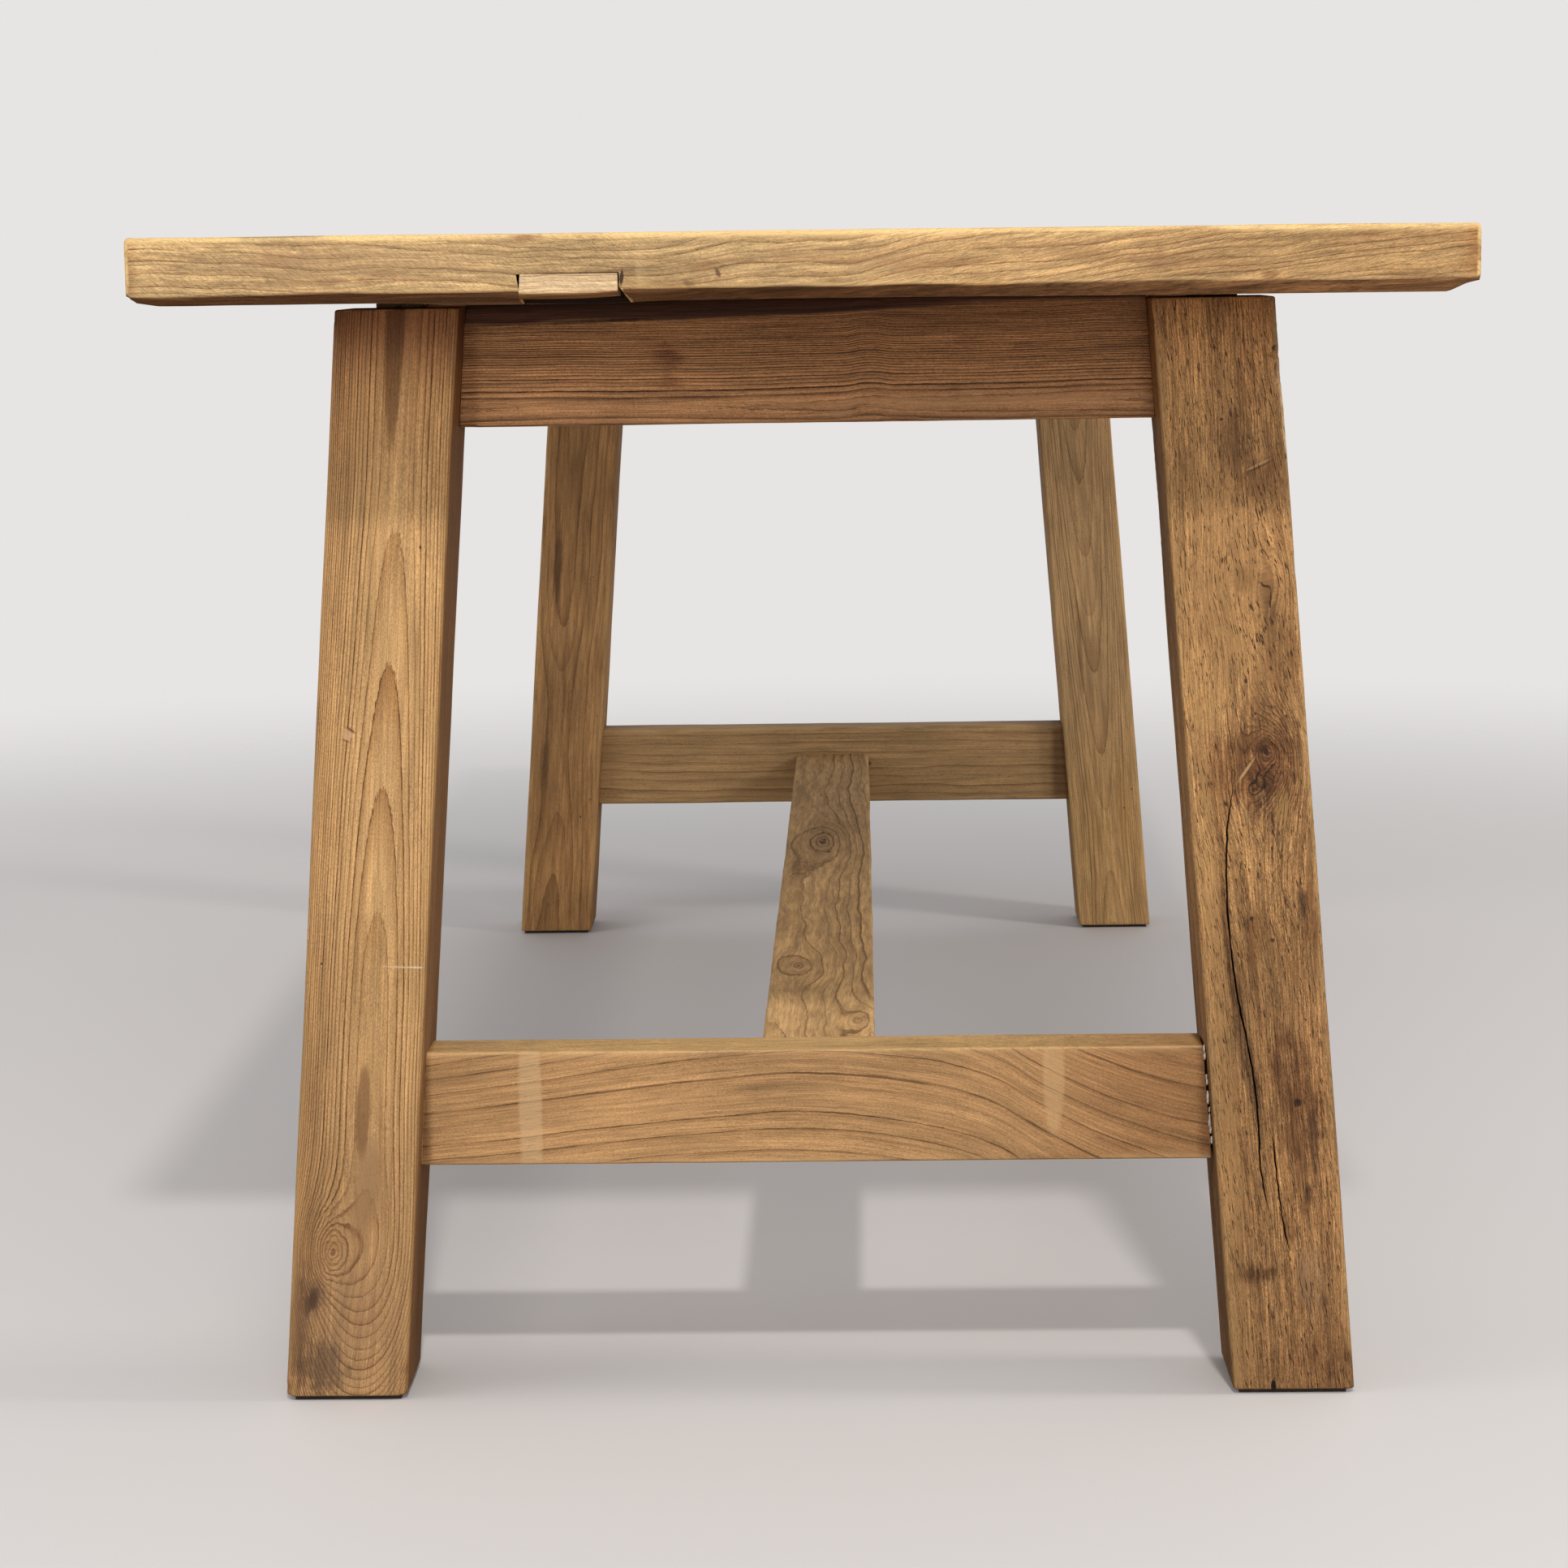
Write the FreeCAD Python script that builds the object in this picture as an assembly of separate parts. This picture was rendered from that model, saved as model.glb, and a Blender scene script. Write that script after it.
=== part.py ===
# Farmhouse trestle table: two splayed leg frames, an H stretcher and a boarded top with breadboard ends.
# Millimetres. X runs across the table, Y along it (near end at -Y), Z up. The origin is on the floor,
# under the middle of the top.
import math
import os

import FreeCAD
import Part

# overall
table_length = 2000.0
top_width = 825.0
wood_height = 780.0         # timber only, the foot pads come below it
pad_thickness = 3.0
pad_inset = 4.0

# top
top_thickness = 44.0
breadboard_width = 120.0    # along the table
plank_widths = [158.0, 172.0, 165.0, 176.0, 154.0]  # shares of the width, from left to right
plank_names = ["left_outer", "left_inner", "centre", "right_inner", "right_outer"]
plank_edge_chamfer = 1.0    # the small V between two planks
tongue_thickness = 14.0
tongue_length = 30.0
groove_extra_depth = 2.0
groove_end_margin = 25.0    # the breadboard groove stops before the sides
spline_thickness = 8.0
spline_width = 20.0
spline_end_margin = 22.0
pin_diameter = 8.0
pin_length = 36.0
pinned_planks = [0, 2, 4]
under_bevel_width = 18.0    # bevel along the long lower arrises
under_bevel_height = 6.5
end_wane_depth = 6.0        # worn lower arris of the breadboard ends, at its deepest
end_wane_height_left = 4.5
end_wane_height_right = 7.5

# old mortise in the near breadboard end, and the block let into it
old_mortise_centre = -141.0
old_mortise_width = 68.0
old_mortise_height = 19.5   # from the underside up
old_mortise_depth = 28.0
patch_width = 63.5
patch_height = 11.0
patch_top_gap = 1.0
patch_depth = 24.0

# legs
leg_width = 80.0            # across the table, square to the leg
leg_depth = 80.0            # along the table
leg_splay = 4.4             # degrees from upright, across the table only
foot_spread = 722.0         # over the outer faces at the feet
end_overhang = 130.0        # top past the legs
leg_top_gap = 3.0           # the top bears on the rails and aprons, not on the legs
leg_edge_radius = 2.5

# upper end rails and long aprons
upper_rail_height = 82.0
upper_rail_thickness = 35.0
upper_rail_setback = 40.0   # from the outer leg face
upper_tenon_thickness = 12.0
upper_tenon_length = 30.0
upper_tenon_top_margin = 16.0
upper_tenon_bottom_margin = 8.0
apron_height = 82.0
apron_thickness = 35.0
apron_setback = 16.0        # from the outer side of the leg, at the leg's top
apron_tenon_length = 34.0

# lower end rails and stretcher
lower_rail_thickness = 40.0
lower_rail_setback = 20.0
near_lower_rail_bottom = 156.0   # above the leg's foot
near_lower_rail_height = 78.0
far_lower_rail_bottom = 144.0
far_lower_rail_height = 86.0
lower_tenon_thickness = 16.0
lower_tenon_length = 40.0
lower_tenon_margin = 11.0
short_shoulder_gap = 1.5    # the near rail was cut short at its right shoulder
glue_bead_depth = 7.0
glue_bead_rise = 10.0       # the bead stops above the rail's lower edge
stretcher_width = 80.0
stretcher_thickness = 40.0
stretcher_top = 199.0       # above the leg's foot
stretcher_tenon_length = 25.0
stretcher_tenon_width = 52.0
stretcher_tenon_thickness = 20.0
rail_edge_radius = 1.5
mortise_extra_depth = 2.0

# wooden buttons that hold the top down
button_length = 42.0
button_width = 30.0
button_thickness = 20.0
button_tongue_thickness = 8.0
button_tongue_length = 8.0
button_groove_depth = 10.0
apron_button_spacing = 480.0
rail_button_spacing = 240.0
screw_diameter = 4.0
screw_head_diameter = 8.5
screw_head_height = 3.5
screw_tip_clearance = 2.0   # under the splines

# derived
foot_z = pad_thickness
top_z = foot_z + wood_height
under_z = top_z - top_thickness
leg_top_z = under_z - leg_top_gap
slope = math.tan(math.radians(leg_splay))
leg_run = leg_width / math.cos(math.radians(leg_splay))
half_length = table_length / 2
half_width = top_width / 2
plank_end = half_length - breadboard_width
frame_outer_y = half_length - end_overhang
frame_inner_y = frame_outer_y - leg_depth
tongue_low = top_z - top_thickness / 2 - tongue_thickness / 2
upper_rail_z = under_z - upper_rail_height
upper_rail_outer_y = frame_outer_y - upper_rail_setback
upper_rail_inner_y = upper_rail_outer_y - upper_rail_thickness
lower_rail_outer_y = frame_outer_y - lower_rail_setback
lower_rail_inner_y = lower_rail_outer_y - lower_rail_thickness
plank_share = half_width * 2 / sum(plank_widths)
screw_bite = (top_thickness - spline_thickness) / 2 - screw_tip_clearance


def leg_outer(z):
    return foot_spread / 2 - (z - foot_z) * slope


def leg_inner(z):
    return leg_outer(z) - leg_run


apron_outer_x = leg_outer(leg_top_z) - apron_setback
apron_inner_x = apron_outer_x - apron_thickness


def block(x0, x1, y0, y1, z0, z1):
    low = FreeCAD.Vector(min(x0, x1), min(y0, y1), min(z0, z1))
    return Part.makeBox(abs(x1 - x0), abs(y1 - y0), abs(z1 - z0), low)


def prism(outline, y0, y1):
    # outline is a list of (x, z) corners, pushed along Y
    corners = [FreeCAD.Vector(x, y0, z) for x, z in outline]
    face = Part.Face(Part.makePolygon(corners + corners[:1]))
    return face.extrude(FreeCAD.Vector(0, y1 - y0, 0))


def rod(x, y, z0, z1, diameter):
    return Part.makeCylinder(diameter / 2, z1 - z0, FreeCAD.Vector(x, y, z0), FreeCAD.Vector(0, 0, 1))


def soften(shape, radius, direction):
    # rounds the straight edges that run along a direction
    edges = [edge for edge in shape.Edges if runs_along(edge, direction)]
    return shape.makeFillet(radius, edges)


def runs_along(edge, direction):
    ends = edge.Vertexes
    run = ends[-1].Point.sub(ends[0].Point)
    return run.Length > 0 and run.normalize().cross(direction).Length < 0.01


def mirrored(shape, normal):
    return shape.mirror(FreeCAD.Vector(0, 0, 0), normal)


across = FreeCAD.Vector(1, 0, 0)
along = FreeCAD.Vector(0, 1, 0)


def upper_tenon(extra):
    # both ends of the near upper rail, in one bar
    reach = leg_inner(leg_top_z) + upper_tenon_length + extra
    middle = -(upper_rail_outer_y + upper_rail_inner_y) / 2
    cheek = upper_tenon_thickness / 2
    low = upper_rail_z + upper_tenon_bottom_margin
    high = under_z - upper_tenon_top_margin
    return block(-reach, reach, middle - cheek, middle + cheek, low, high)


def lower_tenon(bottom, height, extra):
    reach = leg_inner(bottom + height / 2) + lower_tenon_length + extra
    middle = -(lower_rail_outer_y + lower_rail_inner_y) / 2
    cheek = lower_tenon_thickness / 2
    low = bottom + lower_tenon_margin
    high = bottom + height - lower_tenon_margin
    return block(-reach, reach, middle - cheek, middle + cheek, low, high)


def apron_tenon(extra):
    # both ends of the left apron, in one bar
    reach = frame_inner_y + apron_tenon_length + extra
    middle = -(apron_outer_x + apron_inner_x) / 2
    cheek = upper_tenon_thickness / 2
    low = under_z - apron_height + upper_tenon_bottom_margin
    high = under_z - upper_tenon_top_margin
    return block(middle - cheek, middle + cheek, -reach, reach, low, high)


def make_leg(lower_bottom, lower_height):
    # the near left leg, with its three mortises
    outline = [
        (-leg_outer(foot_z), foot_z),
        (-leg_inner(foot_z), foot_z),
        (-leg_inner(leg_top_z), leg_top_z),
        (-leg_outer(leg_top_z), leg_top_z),
    ]
    leg = prism(outline, -frame_outer_y, -frame_inner_y)
    long_way = FreeCAD.Vector(slope, 0, 1).normalize()
    leg = soften(leg, leg_edge_radius, long_way)
    leg = leg.cut(upper_tenon(mortise_extra_depth))
    leg = leg.cut(lower_tenon(lower_bottom, lower_height, mortise_extra_depth))
    return leg.cut(apron_tenon(mortise_extra_depth))


def make_pad():
    x0 = -leg_outer(foot_z) + pad_inset
    x1 = -leg_inner(foot_z) - pad_inset
    return block(x0, x1, -frame_outer_y + pad_inset, -frame_inner_y - pad_inset, 0, foot_z)


def rail_between_legs(bottom, height, outer_y, inner_y, right_gap):
    # a near rail whose shoulders follow the slope of the legs
    top = bottom + height
    outline = [
        (-leg_inner(bottom), bottom),
        (leg_inner(bottom) - right_gap, bottom),
        (leg_inner(top) - right_gap, top),
        (-leg_inner(top), top),
    ]
    return soften(prism(outline, -outer_y, -inner_y), rail_edge_radius, across)


def button_places():
    # (x, y, direction towards the rail) of every button
    places = []
    for side in (-1, 1):
        for step in (-1, 0, 1):
            places.append((side * apron_inner_x, step * apron_button_spacing, (side, 0)))
    for side in (-1, 1):
        for step in (-0.5, 0.5):
            places.append((step * rail_button_spacing, side * upper_rail_inner_y, (0, side)))
    return places


def strip(x, y, direction, back, ahead, half, z0, z1):
    # a box that lies across a rail's inner face: back from it and ahead into it
    dx, dy = direction
    return block(x - dx * back - abs(dy) * half, x + dx * ahead + abs(dy) * half,
                 y - dy * back - abs(dx) * half, y + dy * ahead + abs(dx) * half, z0, z1)


tongue_z = under_z - button_thickness


def button_groove(length_along, x, y, direction):
    return strip(x, y, direction, 0, button_groove_depth, length_along / 2, tongue_z,
                 tongue_z + button_tongue_thickness)


def make_upper_rail():
    rail = rail_between_legs(upper_rail_z, upper_rail_height, upper_rail_outer_y, upper_rail_inner_y, 0)
    rail = rail.fuse(upper_tenon(0)).removeSplitter()
    return rail.cut(button_groove(2 * leg_inner(under_z) - 40, 0, -upper_rail_inner_y, (0, -1)))


def make_lower_rail(bottom, height, right_gap):
    rail = rail_between_legs(bottom, height, lower_rail_outer_y, lower_rail_inner_y, right_gap)
    rail = rail.fuse(lower_tenon(bottom, height, 0)).removeSplitter()
    return rail.cut(stretcher_tenon(mortise_extra_depth))


def stretcher_tenon(extra):
    middle = foot_z + stretcher_top - stretcher_thickness / 2
    reach = lower_rail_inner_y + stretcher_tenon_length + extra
    return block(-stretcher_tenon_width / 2, stretcher_tenon_width / 2, -reach, reach,
                 middle - stretcher_tenon_thickness / 2, middle + stretcher_tenon_thickness / 2)


def make_stretcher():
    high = foot_z + stretcher_top
    body = block(-stretcher_width / 2, stretcher_width / 2, -lower_rail_inner_y, lower_rail_inner_y,
                 high - stretcher_thickness, high)
    return soften(body, rail_edge_radius, along).fuse(stretcher_tenon(0)).removeSplitter()


def make_apron():
    # the left apron
    low = under_z - apron_height
    body = block(-apron_outer_x, -apron_inner_x, -frame_inner_y, frame_inner_y, low, under_z)
    body = soften(body, rail_edge_radius, along).fuse(apron_tenon(0)).removeSplitter()
    return body.cut(button_groove(2 * frame_inner_y - 80, -apron_inner_x, 0, (-1, 0)))


def make_glue_bead():
    # dried glue in the open right shoulder of the near lower rail
    low = foot_z + near_lower_rail_bottom + glue_bead_rise
    high = foot_z + near_lower_rail_bottom + near_lower_rail_height
    outline = [
        (leg_inner(low) - short_shoulder_gap, low),
        (leg_inner(low), low),
        (leg_inner(high), high),
        (leg_inner(high) - short_shoulder_gap, high),
    ]
    return prism(outline, -lower_rail_outer_y, -lower_rail_outer_y + glue_bead_depth)


def end_wane():
    # the wedge worn off the lower arris of the near end, deeper at the right
    ends = []
    for x, height in ((-half_width - 1, end_wane_height_left), (half_width + 1, end_wane_height_right)):
        depth = height * end_wane_depth / end_wane_height_right
        ends.append([
            FreeCAD.Vector(x, -half_length, under_z + height),
            FreeCAD.Vector(x, -half_length + depth, under_z),
            FreeCAD.Vector(x, -half_length - height, under_z - height),
        ])
    left, right = ends
    outlines = [left, right]
    for corner in range(3):
        following = (corner + 1) % 3
        outlines.append([left[corner], left[following], right[following], right[corner]])
    faces = [Part.Face(Part.makePolygon(outline + outline[:1])) for outline in outlines]
    return Part.makeSolid(Part.makeShell(faces))


def under_bevel(side):
    outline = [
        (side * (half_width - under_bevel_width), under_z),
        (side * half_width, under_z + under_bevel_height),
        (side * (half_width + 1), under_z - 1),
    ]
    return prism(outline, -half_length - 1, half_length + 1)


def pin_places():
    # the pins stand in the middle of the tongue
    edges = plank_edges()
    x_places = [(edges[index] + edges[index + 1]) / 2 for index in pinned_planks]
    return [(x, -plank_end - tongue_length / 2) for x in x_places]


def plank_edges():
    edges = [-half_width]
    for width in plank_widths:
        edges.append(edges[-1] + width * plank_share)
    return edges


def make_breadboard(with_old_mortise):
    # the near breadboard end
    board = block(-half_width, half_width, -half_length, -plank_end, under_z, top_z)
    groove_half = half_width - groove_end_margin
    groove_back = -plank_end - tongue_length - groove_extra_depth
    groove_high = tongue_low + tongue_thickness
    board = board.cut(block(-groove_half, groove_half, -plank_end, groove_back, tongue_low, groove_high))
    board = board.cut(end_wane()).cut(under_bevel(-1)).cut(under_bevel(1))
    for x, y in pin_places():
        board = board.cut(rod(x, y, under_z - 1, under_z + pin_length, pin_diameter))
    if with_old_mortise:
        left = old_mortise_centre - old_mortise_width / 2
        back = -half_length + old_mortise_depth
        high = under_z + old_mortise_height
        board = board.cut(block(left, left + old_mortise_width, -half_length - 1, back, under_z - 1, high))
    return board


def make_patch():
    high = under_z + old_mortise_height - patch_top_gap
    back = -half_length + old_mortise_depth
    left = old_mortise_centre - old_mortise_width / 2
    return block(left, left + patch_width, -half_length, back, high - patch_height, high)


def make_plank(index):
    edges = plank_edges()
    x0 = edges[index]
    x1 = edges[index + 1]
    plank = block(x0, x1, -plank_end, plank_end, under_z, top_z)
    long_edges = [edge for edge in plank.Edges if runs_along(edge, along)]
    joint_edges = [edge for edge in long_edges if abs(edge.CenterOfMass.x) < half_width - 1]
    plank = plank.makeChamfer(plank_edge_chamfer, joint_edges)
    tongue_x0 = max(x0, -half_width + groove_end_margin)
    tongue_x1 = min(x1, half_width - groove_end_margin)
    reach = plank_end + tongue_length
    tongue_high = tongue_low + tongue_thickness
    plank = plank.fuse(block(tongue_x0, tongue_x1, -reach, reach, tongue_low, tongue_high))
    plank = plank.removeSplitter()
    for edge_x in edges[1:-1]:
        plank = plank.cut(make_spline(edge_x))
    for x, y in pin_places():
        hole = rod(x, y, under_z - 1, under_z + pin_length, pin_diameter)
        plank = plank.cut(hole).cut(mirrored(hole, along))
    return plank.cut(under_bevel(-1)).cut(under_bevel(1))


def make_spline(x):
    reach = plank_end - spline_end_margin
    low = top_z - top_thickness / 2 - spline_thickness / 2
    return block(x - spline_width / 2, x + spline_width / 2, -reach, reach, low, low + spline_thickness)


def make_pins():
    pins = [rod(x, y, under_z, under_z + pin_length, pin_diameter) for x, y in pin_places()]
    return pins + [mirrored(pin, along) for pin in pins]


def make_buttons():
    buttons = []
    for x, y, direction in button_places():
        body = strip(x, y, direction, button_length, 0, button_width / 2, tongue_z, under_z)
        tongue = strip(x, y, direction, 0, button_tongue_length, button_width / 2, tongue_z,
                       tongue_z + button_tongue_thickness)
        buttons.append(body.fuse(tongue).removeSplitter().cut(make_screw(x, y, direction)))
    return buttons


def make_screw(x, y, direction):
    dx, dy = direction
    screw_x = x - dx * button_length / 2
    screw_y = y - dy * button_length / 2
    shank = rod(screw_x, screw_y, tongue_z, under_z + screw_bite, screw_diameter)
    head = Part.makeCone(screw_head_diameter / 2, screw_diameter / 2, screw_head_height,
                         FreeCAD.Vector(screw_x, screw_y, tongue_z), FreeCAD.Vector(0, 0, 1))
    return shank.fuse(head).removeSplitter()


screws = [make_screw(x, y, direction) for x, y, direction in button_places()]


def drilled(shape):
    # pilot holes for the screws that reach into a plank
    for screw in screws:
        if shape.BoundBox.intersect(screw.BoundBox):
            shape = shape.cut(screw)
    return shape


near_bottom = foot_z + near_lower_rail_bottom
far_bottom = foot_z + far_lower_rail_bottom
near_leg = make_leg(near_bottom, near_lower_rail_height)
far_leg = mirrored(make_leg(far_bottom, far_lower_rail_height), along)
pad = make_pad()
pads = [pad, mirrored(pad, across), mirrored(pad, along), mirrored(mirrored(pad, along), across)]
upper_rail = make_upper_rail()
far_lower_rail = mirrored(make_lower_rail(far_bottom, far_lower_rail_height, 0), along)
apron = make_apron()

pieces = {
    "near_breadboard_end": drilled(make_breadboard(True)),
    "far_breadboard_end": drilled(mirrored(make_breadboard(False), along)),
    "mortise_patch": make_patch(),
    "breadboard_pins": Part.makeCompound(make_pins()),
    "near_left_leg": near_leg,
    "near_right_leg": mirrored(near_leg, across),
    "far_left_leg": far_leg,
    "far_right_leg": mirrored(far_leg, across),
    "foot_pads": Part.makeCompound(pads),
    "near_upper_rail": upper_rail,
    "far_upper_rail": mirrored(upper_rail, along),
    "near_lower_rail": make_lower_rail(near_bottom, near_lower_rail_height, short_shoulder_gap),
    "far_lower_rail": far_lower_rail,
    "shoulder_glue_bead": make_glue_bead(),
    "stretcher": make_stretcher(),
    "left_apron": apron,
    "right_apron": mirrored(apron, across),
    "top_buttons": Part.makeCompound(make_buttons()),
    "button_screws": Part.makeCompound(screws),
}
for index, name in enumerate(plank_names):
    pieces["top_plank_" + name] = drilled(make_plank(index))
for index, x in enumerate(plank_edges()[1:-1]):
    pieces["plank_spline_" + str(index + 1)] = make_spline(x)

os.makedirs("parts", exist_ok=True)
for name, shape in pieces.items():
    shape.exportStep("parts/" + name + ".step")
    box = shape.BoundBox
    size = [round(length, 1) for length in (box.XLength, box.YLength, box.ZLength)]
    print(name, len(shape.Solids), shape.isValid(), size)
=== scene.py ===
import math

import bmesh
import bpy
import numpy as np
from mathutils import Matrix, Vector, noise


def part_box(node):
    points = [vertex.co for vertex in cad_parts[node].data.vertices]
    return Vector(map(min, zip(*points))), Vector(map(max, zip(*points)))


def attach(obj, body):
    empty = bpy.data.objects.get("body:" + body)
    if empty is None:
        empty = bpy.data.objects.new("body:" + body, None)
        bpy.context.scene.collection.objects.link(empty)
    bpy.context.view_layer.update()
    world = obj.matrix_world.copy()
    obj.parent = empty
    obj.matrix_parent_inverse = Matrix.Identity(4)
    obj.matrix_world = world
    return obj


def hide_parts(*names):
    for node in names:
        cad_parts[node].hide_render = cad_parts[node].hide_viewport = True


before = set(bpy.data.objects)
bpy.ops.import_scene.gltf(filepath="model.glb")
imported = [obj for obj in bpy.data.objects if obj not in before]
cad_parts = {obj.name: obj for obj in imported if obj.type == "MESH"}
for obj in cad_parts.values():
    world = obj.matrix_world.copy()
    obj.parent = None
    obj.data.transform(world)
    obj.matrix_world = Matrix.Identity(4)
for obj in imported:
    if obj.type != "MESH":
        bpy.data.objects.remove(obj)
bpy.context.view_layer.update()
print("frame loaded:", len(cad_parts), "nodes")


# small helpers for shader trees

def addNode(tree, kind, settings=None, inputs=None):
    node = tree.nodes.new("ShaderNode" + kind)
    for name, value in (settings or {}).items():
        setattr(node, name, value)
    fillInputs(tree, node, inputs or {})
    return node


def fillInputs(tree, node, inputs):
    for name, value in inputs.items():
        value = getattr(value, "socket", value)
        if isinstance(value, bpy.types.NodeSocket):
            tree.links.new(value, node.inputs[name])
        else:
            node.inputs[name].default_value = value


class Signal:
    # a value that runs through a shader tree and that sums can be written with
    def __init__(self, tree, socket):
        self.tree, self.socket = tree, socket

    def math(self, operation, first, second=0.0, clamp=False):
        settings = {"operation": operation, "use_clamp": clamp}
        return Signal(self.tree, addNode(self.tree, "Math", settings, {0: first, 1: second}).outputs[0])

    def __add__(self, other):
        return self.math("ADD", self, other)

    def __radd__(self, other):
        return self.math("ADD", other, self)

    def __sub__(self, other):
        return self.math("SUBTRACT", self, other)

    def __rsub__(self, other):
        return self.math("SUBTRACT", other, self)

    def __mul__(self, other):
        return self.math("MULTIPLY", self, other)

    def __rmul__(self, other):
        return self.math("MULTIPLY", other, self)

    def __truediv__(self, other):
        return self.math("DIVIDE", self, other)

    def __rtruediv__(self, other):
        return self.math("DIVIDE", other, self)

    def __pow__(self, other):
        return self.math("POWER", self, other)

    def root(self):
        return self.math("SQRT", self)

    def atLeast(self, other):
        return self.math("MAXIMUM", self, other)

    def atMost(self, other):
        return self.math("MINIMUM", self, other)

    def axes(self):
        return signals(self.tree, addNode(self.tree, "SeparateXYZ", inputs={0: self}).outputs)

    def fade(self, low, high, toLow=0.0, toHigh=1.0):
        # smooth step: toLow below low, toHigh above high
        node = addNode(self.tree, "MapRange", {"interpolation_type": "SMOOTHSTEP"},
                       {"Value": self, "From Min": low, "From Max": high, "To Min": toLow, "To Max": toHigh})
        return Signal(self.tree, node.outputs["Result"])

    def noise(self, scale, detail=2.0, rough=0.5, stretch=None):
        # noise over a vector, which stretch can squeeze along the grain
        spot = self
        if stretch is not None:
            spot = addNode(self.tree, "VectorMath", {"operation": "MULTIPLY"}, {0: self, 1: stretch})
            spot = spot.outputs[0]
        node = addNode(self.tree, "TexNoise",
                       inputs={"Vector": spot, "Scale": scale, "Detail": detail, "Roughness": rough})
        return Signal(self.tree, node.outputs[0])


def signals(tree, sockets):
    return [Signal(tree, socket) for socket in sockets]


def joinAxes(tree, x, y, z):
    return Signal(tree, addNode(tree, "CombineXYZ", inputs={0: x, 1: y, 2: z}).outputs[0])


def mixColour(amount, a, b, blend="MIX"):
    node = addNode(amount.tree, "Mix", {"data_type": "RGBA", "blend_type": blend})
    a, b = ((*colour, 1.0) if isinstance(colour, tuple) else colour for colour in (a, b))
    fillInputs(amount.tree, node, {0: amount, 6: a, 7: b})
    return Signal(amount.tree, node.outputs[2])


def newGroup(name, inputs, outputs):
    # inputs gives each number its default, and None for a vector; outputs gives the kind of each
    tree = bpy.data.node_groups.new(name, "ShaderNodeTree")
    kinds = {"vector": "NodeSocketVector", "number": "NodeSocketFloat"}
    for label, value in inputs.items():
        kind = "vector" if value is None else "number"
        socket = tree.interface.new_socket(label, in_out="INPUT", socket_type=kinds[kind])
        if value is not None:
            socket.default_value = value
    for label, kind in outputs.items():
        tree.interface.new_socket(label, in_out="OUTPUT", socket_type=kinds[kind])
    sockets = tree.nodes.new("NodeGroupInput").outputs
    return tree, {label: Signal(tree, sockets[label]) for label in inputs}


def endGroup(tree, results):
    fillInputs(tree, tree.nodes.new("NodeGroupOutput"), results)
    return tree


def useGroup(tree, group, inputs):
    node = tree.nodes.new("ShaderNodeGroup")
    node.node_tree = group
    fillInputs(tree, node, inputs)
    return {socket.name: Signal(tree, socket) for socket in node.outputs}


# shared effects, each a node group

def softDistance(value, middle, softness):
    away = value - middle
    return (away * away + softness * softness).root()


def makeHeartGroup():
    # distance from a pith that leans away from the timber's length; X across, Y deep, Z along it
    tree, inputs = newGroup("round heart", {
        "Vector": None, "Pith Across": 0.0, "Pith Depth": 0.03, "Lean Across": 0.0, "Lean Depth": 0.02,
        "Crest": 0.0, "Crest Softness": 0.03, "Bend": 0.002}, {"Radius": "number", "Slope": "number"})
    x, y, z = inputs["Vector"].axes()
    slowWave = inputs["Vector"].noise(14.0, 1.0, stretch=(1, 1, 0.35))
    slowWaveTwo = inputs["Vector"].noise(21.0, 1.0, stretch=(1.3, 1, 0.5))
    away = softDistance(z, inputs["Crest"], inputs["Crest Softness"])
    across = x - inputs["Pith Across"] - inputs["Lean Across"] * z + (slowWaveTwo - 0.5) * inputs["Bend"]
    depth = y - inputs["Pith Depth"] + inputs["Lean Depth"] * away + (slowWave - 0.5) * inputs["Bend"]
    radius = (across * across + depth * depth).root()
    rise = depth * inputs["Lean Depth"]
    slope = (across * across + rise * rise).root() / radius
    return endGroup(tree, {"Radius": radius, "Slope": slope})


def makeArchGroup():
    # flat-sawn figure: tall arches nested one over the other, that run out into straight lines at the sides
    tree, inputs = newGroup("flat-sawn arches", {
        "Vector": None, "Centre": 0.0, "Half Width": 0.0137, "Power": 2.5, "Ring Width": 0.002,
        "Arch Length": 0.088, "Crest": 0.0, "Crest Softness": 0.01, "Beyond": 1.0, "Start": 0.3, "Foot": -1.0,
        "Foot Length": 0.034, "Step Along": -1.0, "Step Years": 0.0, "Front": -0.04, "Depth Share": 0.5,
        "Bend": 0.001}, {"Radius": "number", "Slope": "number"})
    footPower, stepLength, firstYear = 2.6, 0.2, 60.0
    x, y, z = inputs["Vector"].axes()
    slowWave = inputs["Vector"].noise(17.0, stretch=(1, 1, 0.3))
    below = (inputs["Foot"] - z).atLeast(0.0)
    across = x - inputs["Centre"] + (slowWave - 0.5) * inputs["Bend"]
    share = across.math("ABSOLUTE", across) / inputs["Half Width"] + 0.001
    sideways = share ** inputs["Power"]
    away = softDistance(z, inputs["Crest"], inputs["Crest Softness"])
    past = (z - inputs["Crest"]).atLeast(0.0)
    away = away - past * (1.0 - inputs["Beyond"])
    years = sideways + inputs["Start"] - away / inputs["Arch Length"]
    belowShare = below / inputs["Foot Length"]
    years = years + belowShare ** footPower
    years = years + (inputs["Step Along"] - z).fade(0.0, stepLength) * inputs["Step Years"]
    deep = (y - inputs["Front"]) * inputs["Depth Share"]
    radius = (years + firstYear) * inputs["Ring Width"] + deep
    steep = sideways / share * inputs["Power"] / inputs["Half Width"]
    rise = 1.0 / inputs["Arch Length"] + belowShare ** (footPower - 1) * footPower / inputs["Foot Length"]
    slope = (steep * steep + rise * rise).root()
    return endGroup(tree, {"Radius": radius, "Slope": slope * inputs["Ring Width"]})


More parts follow.
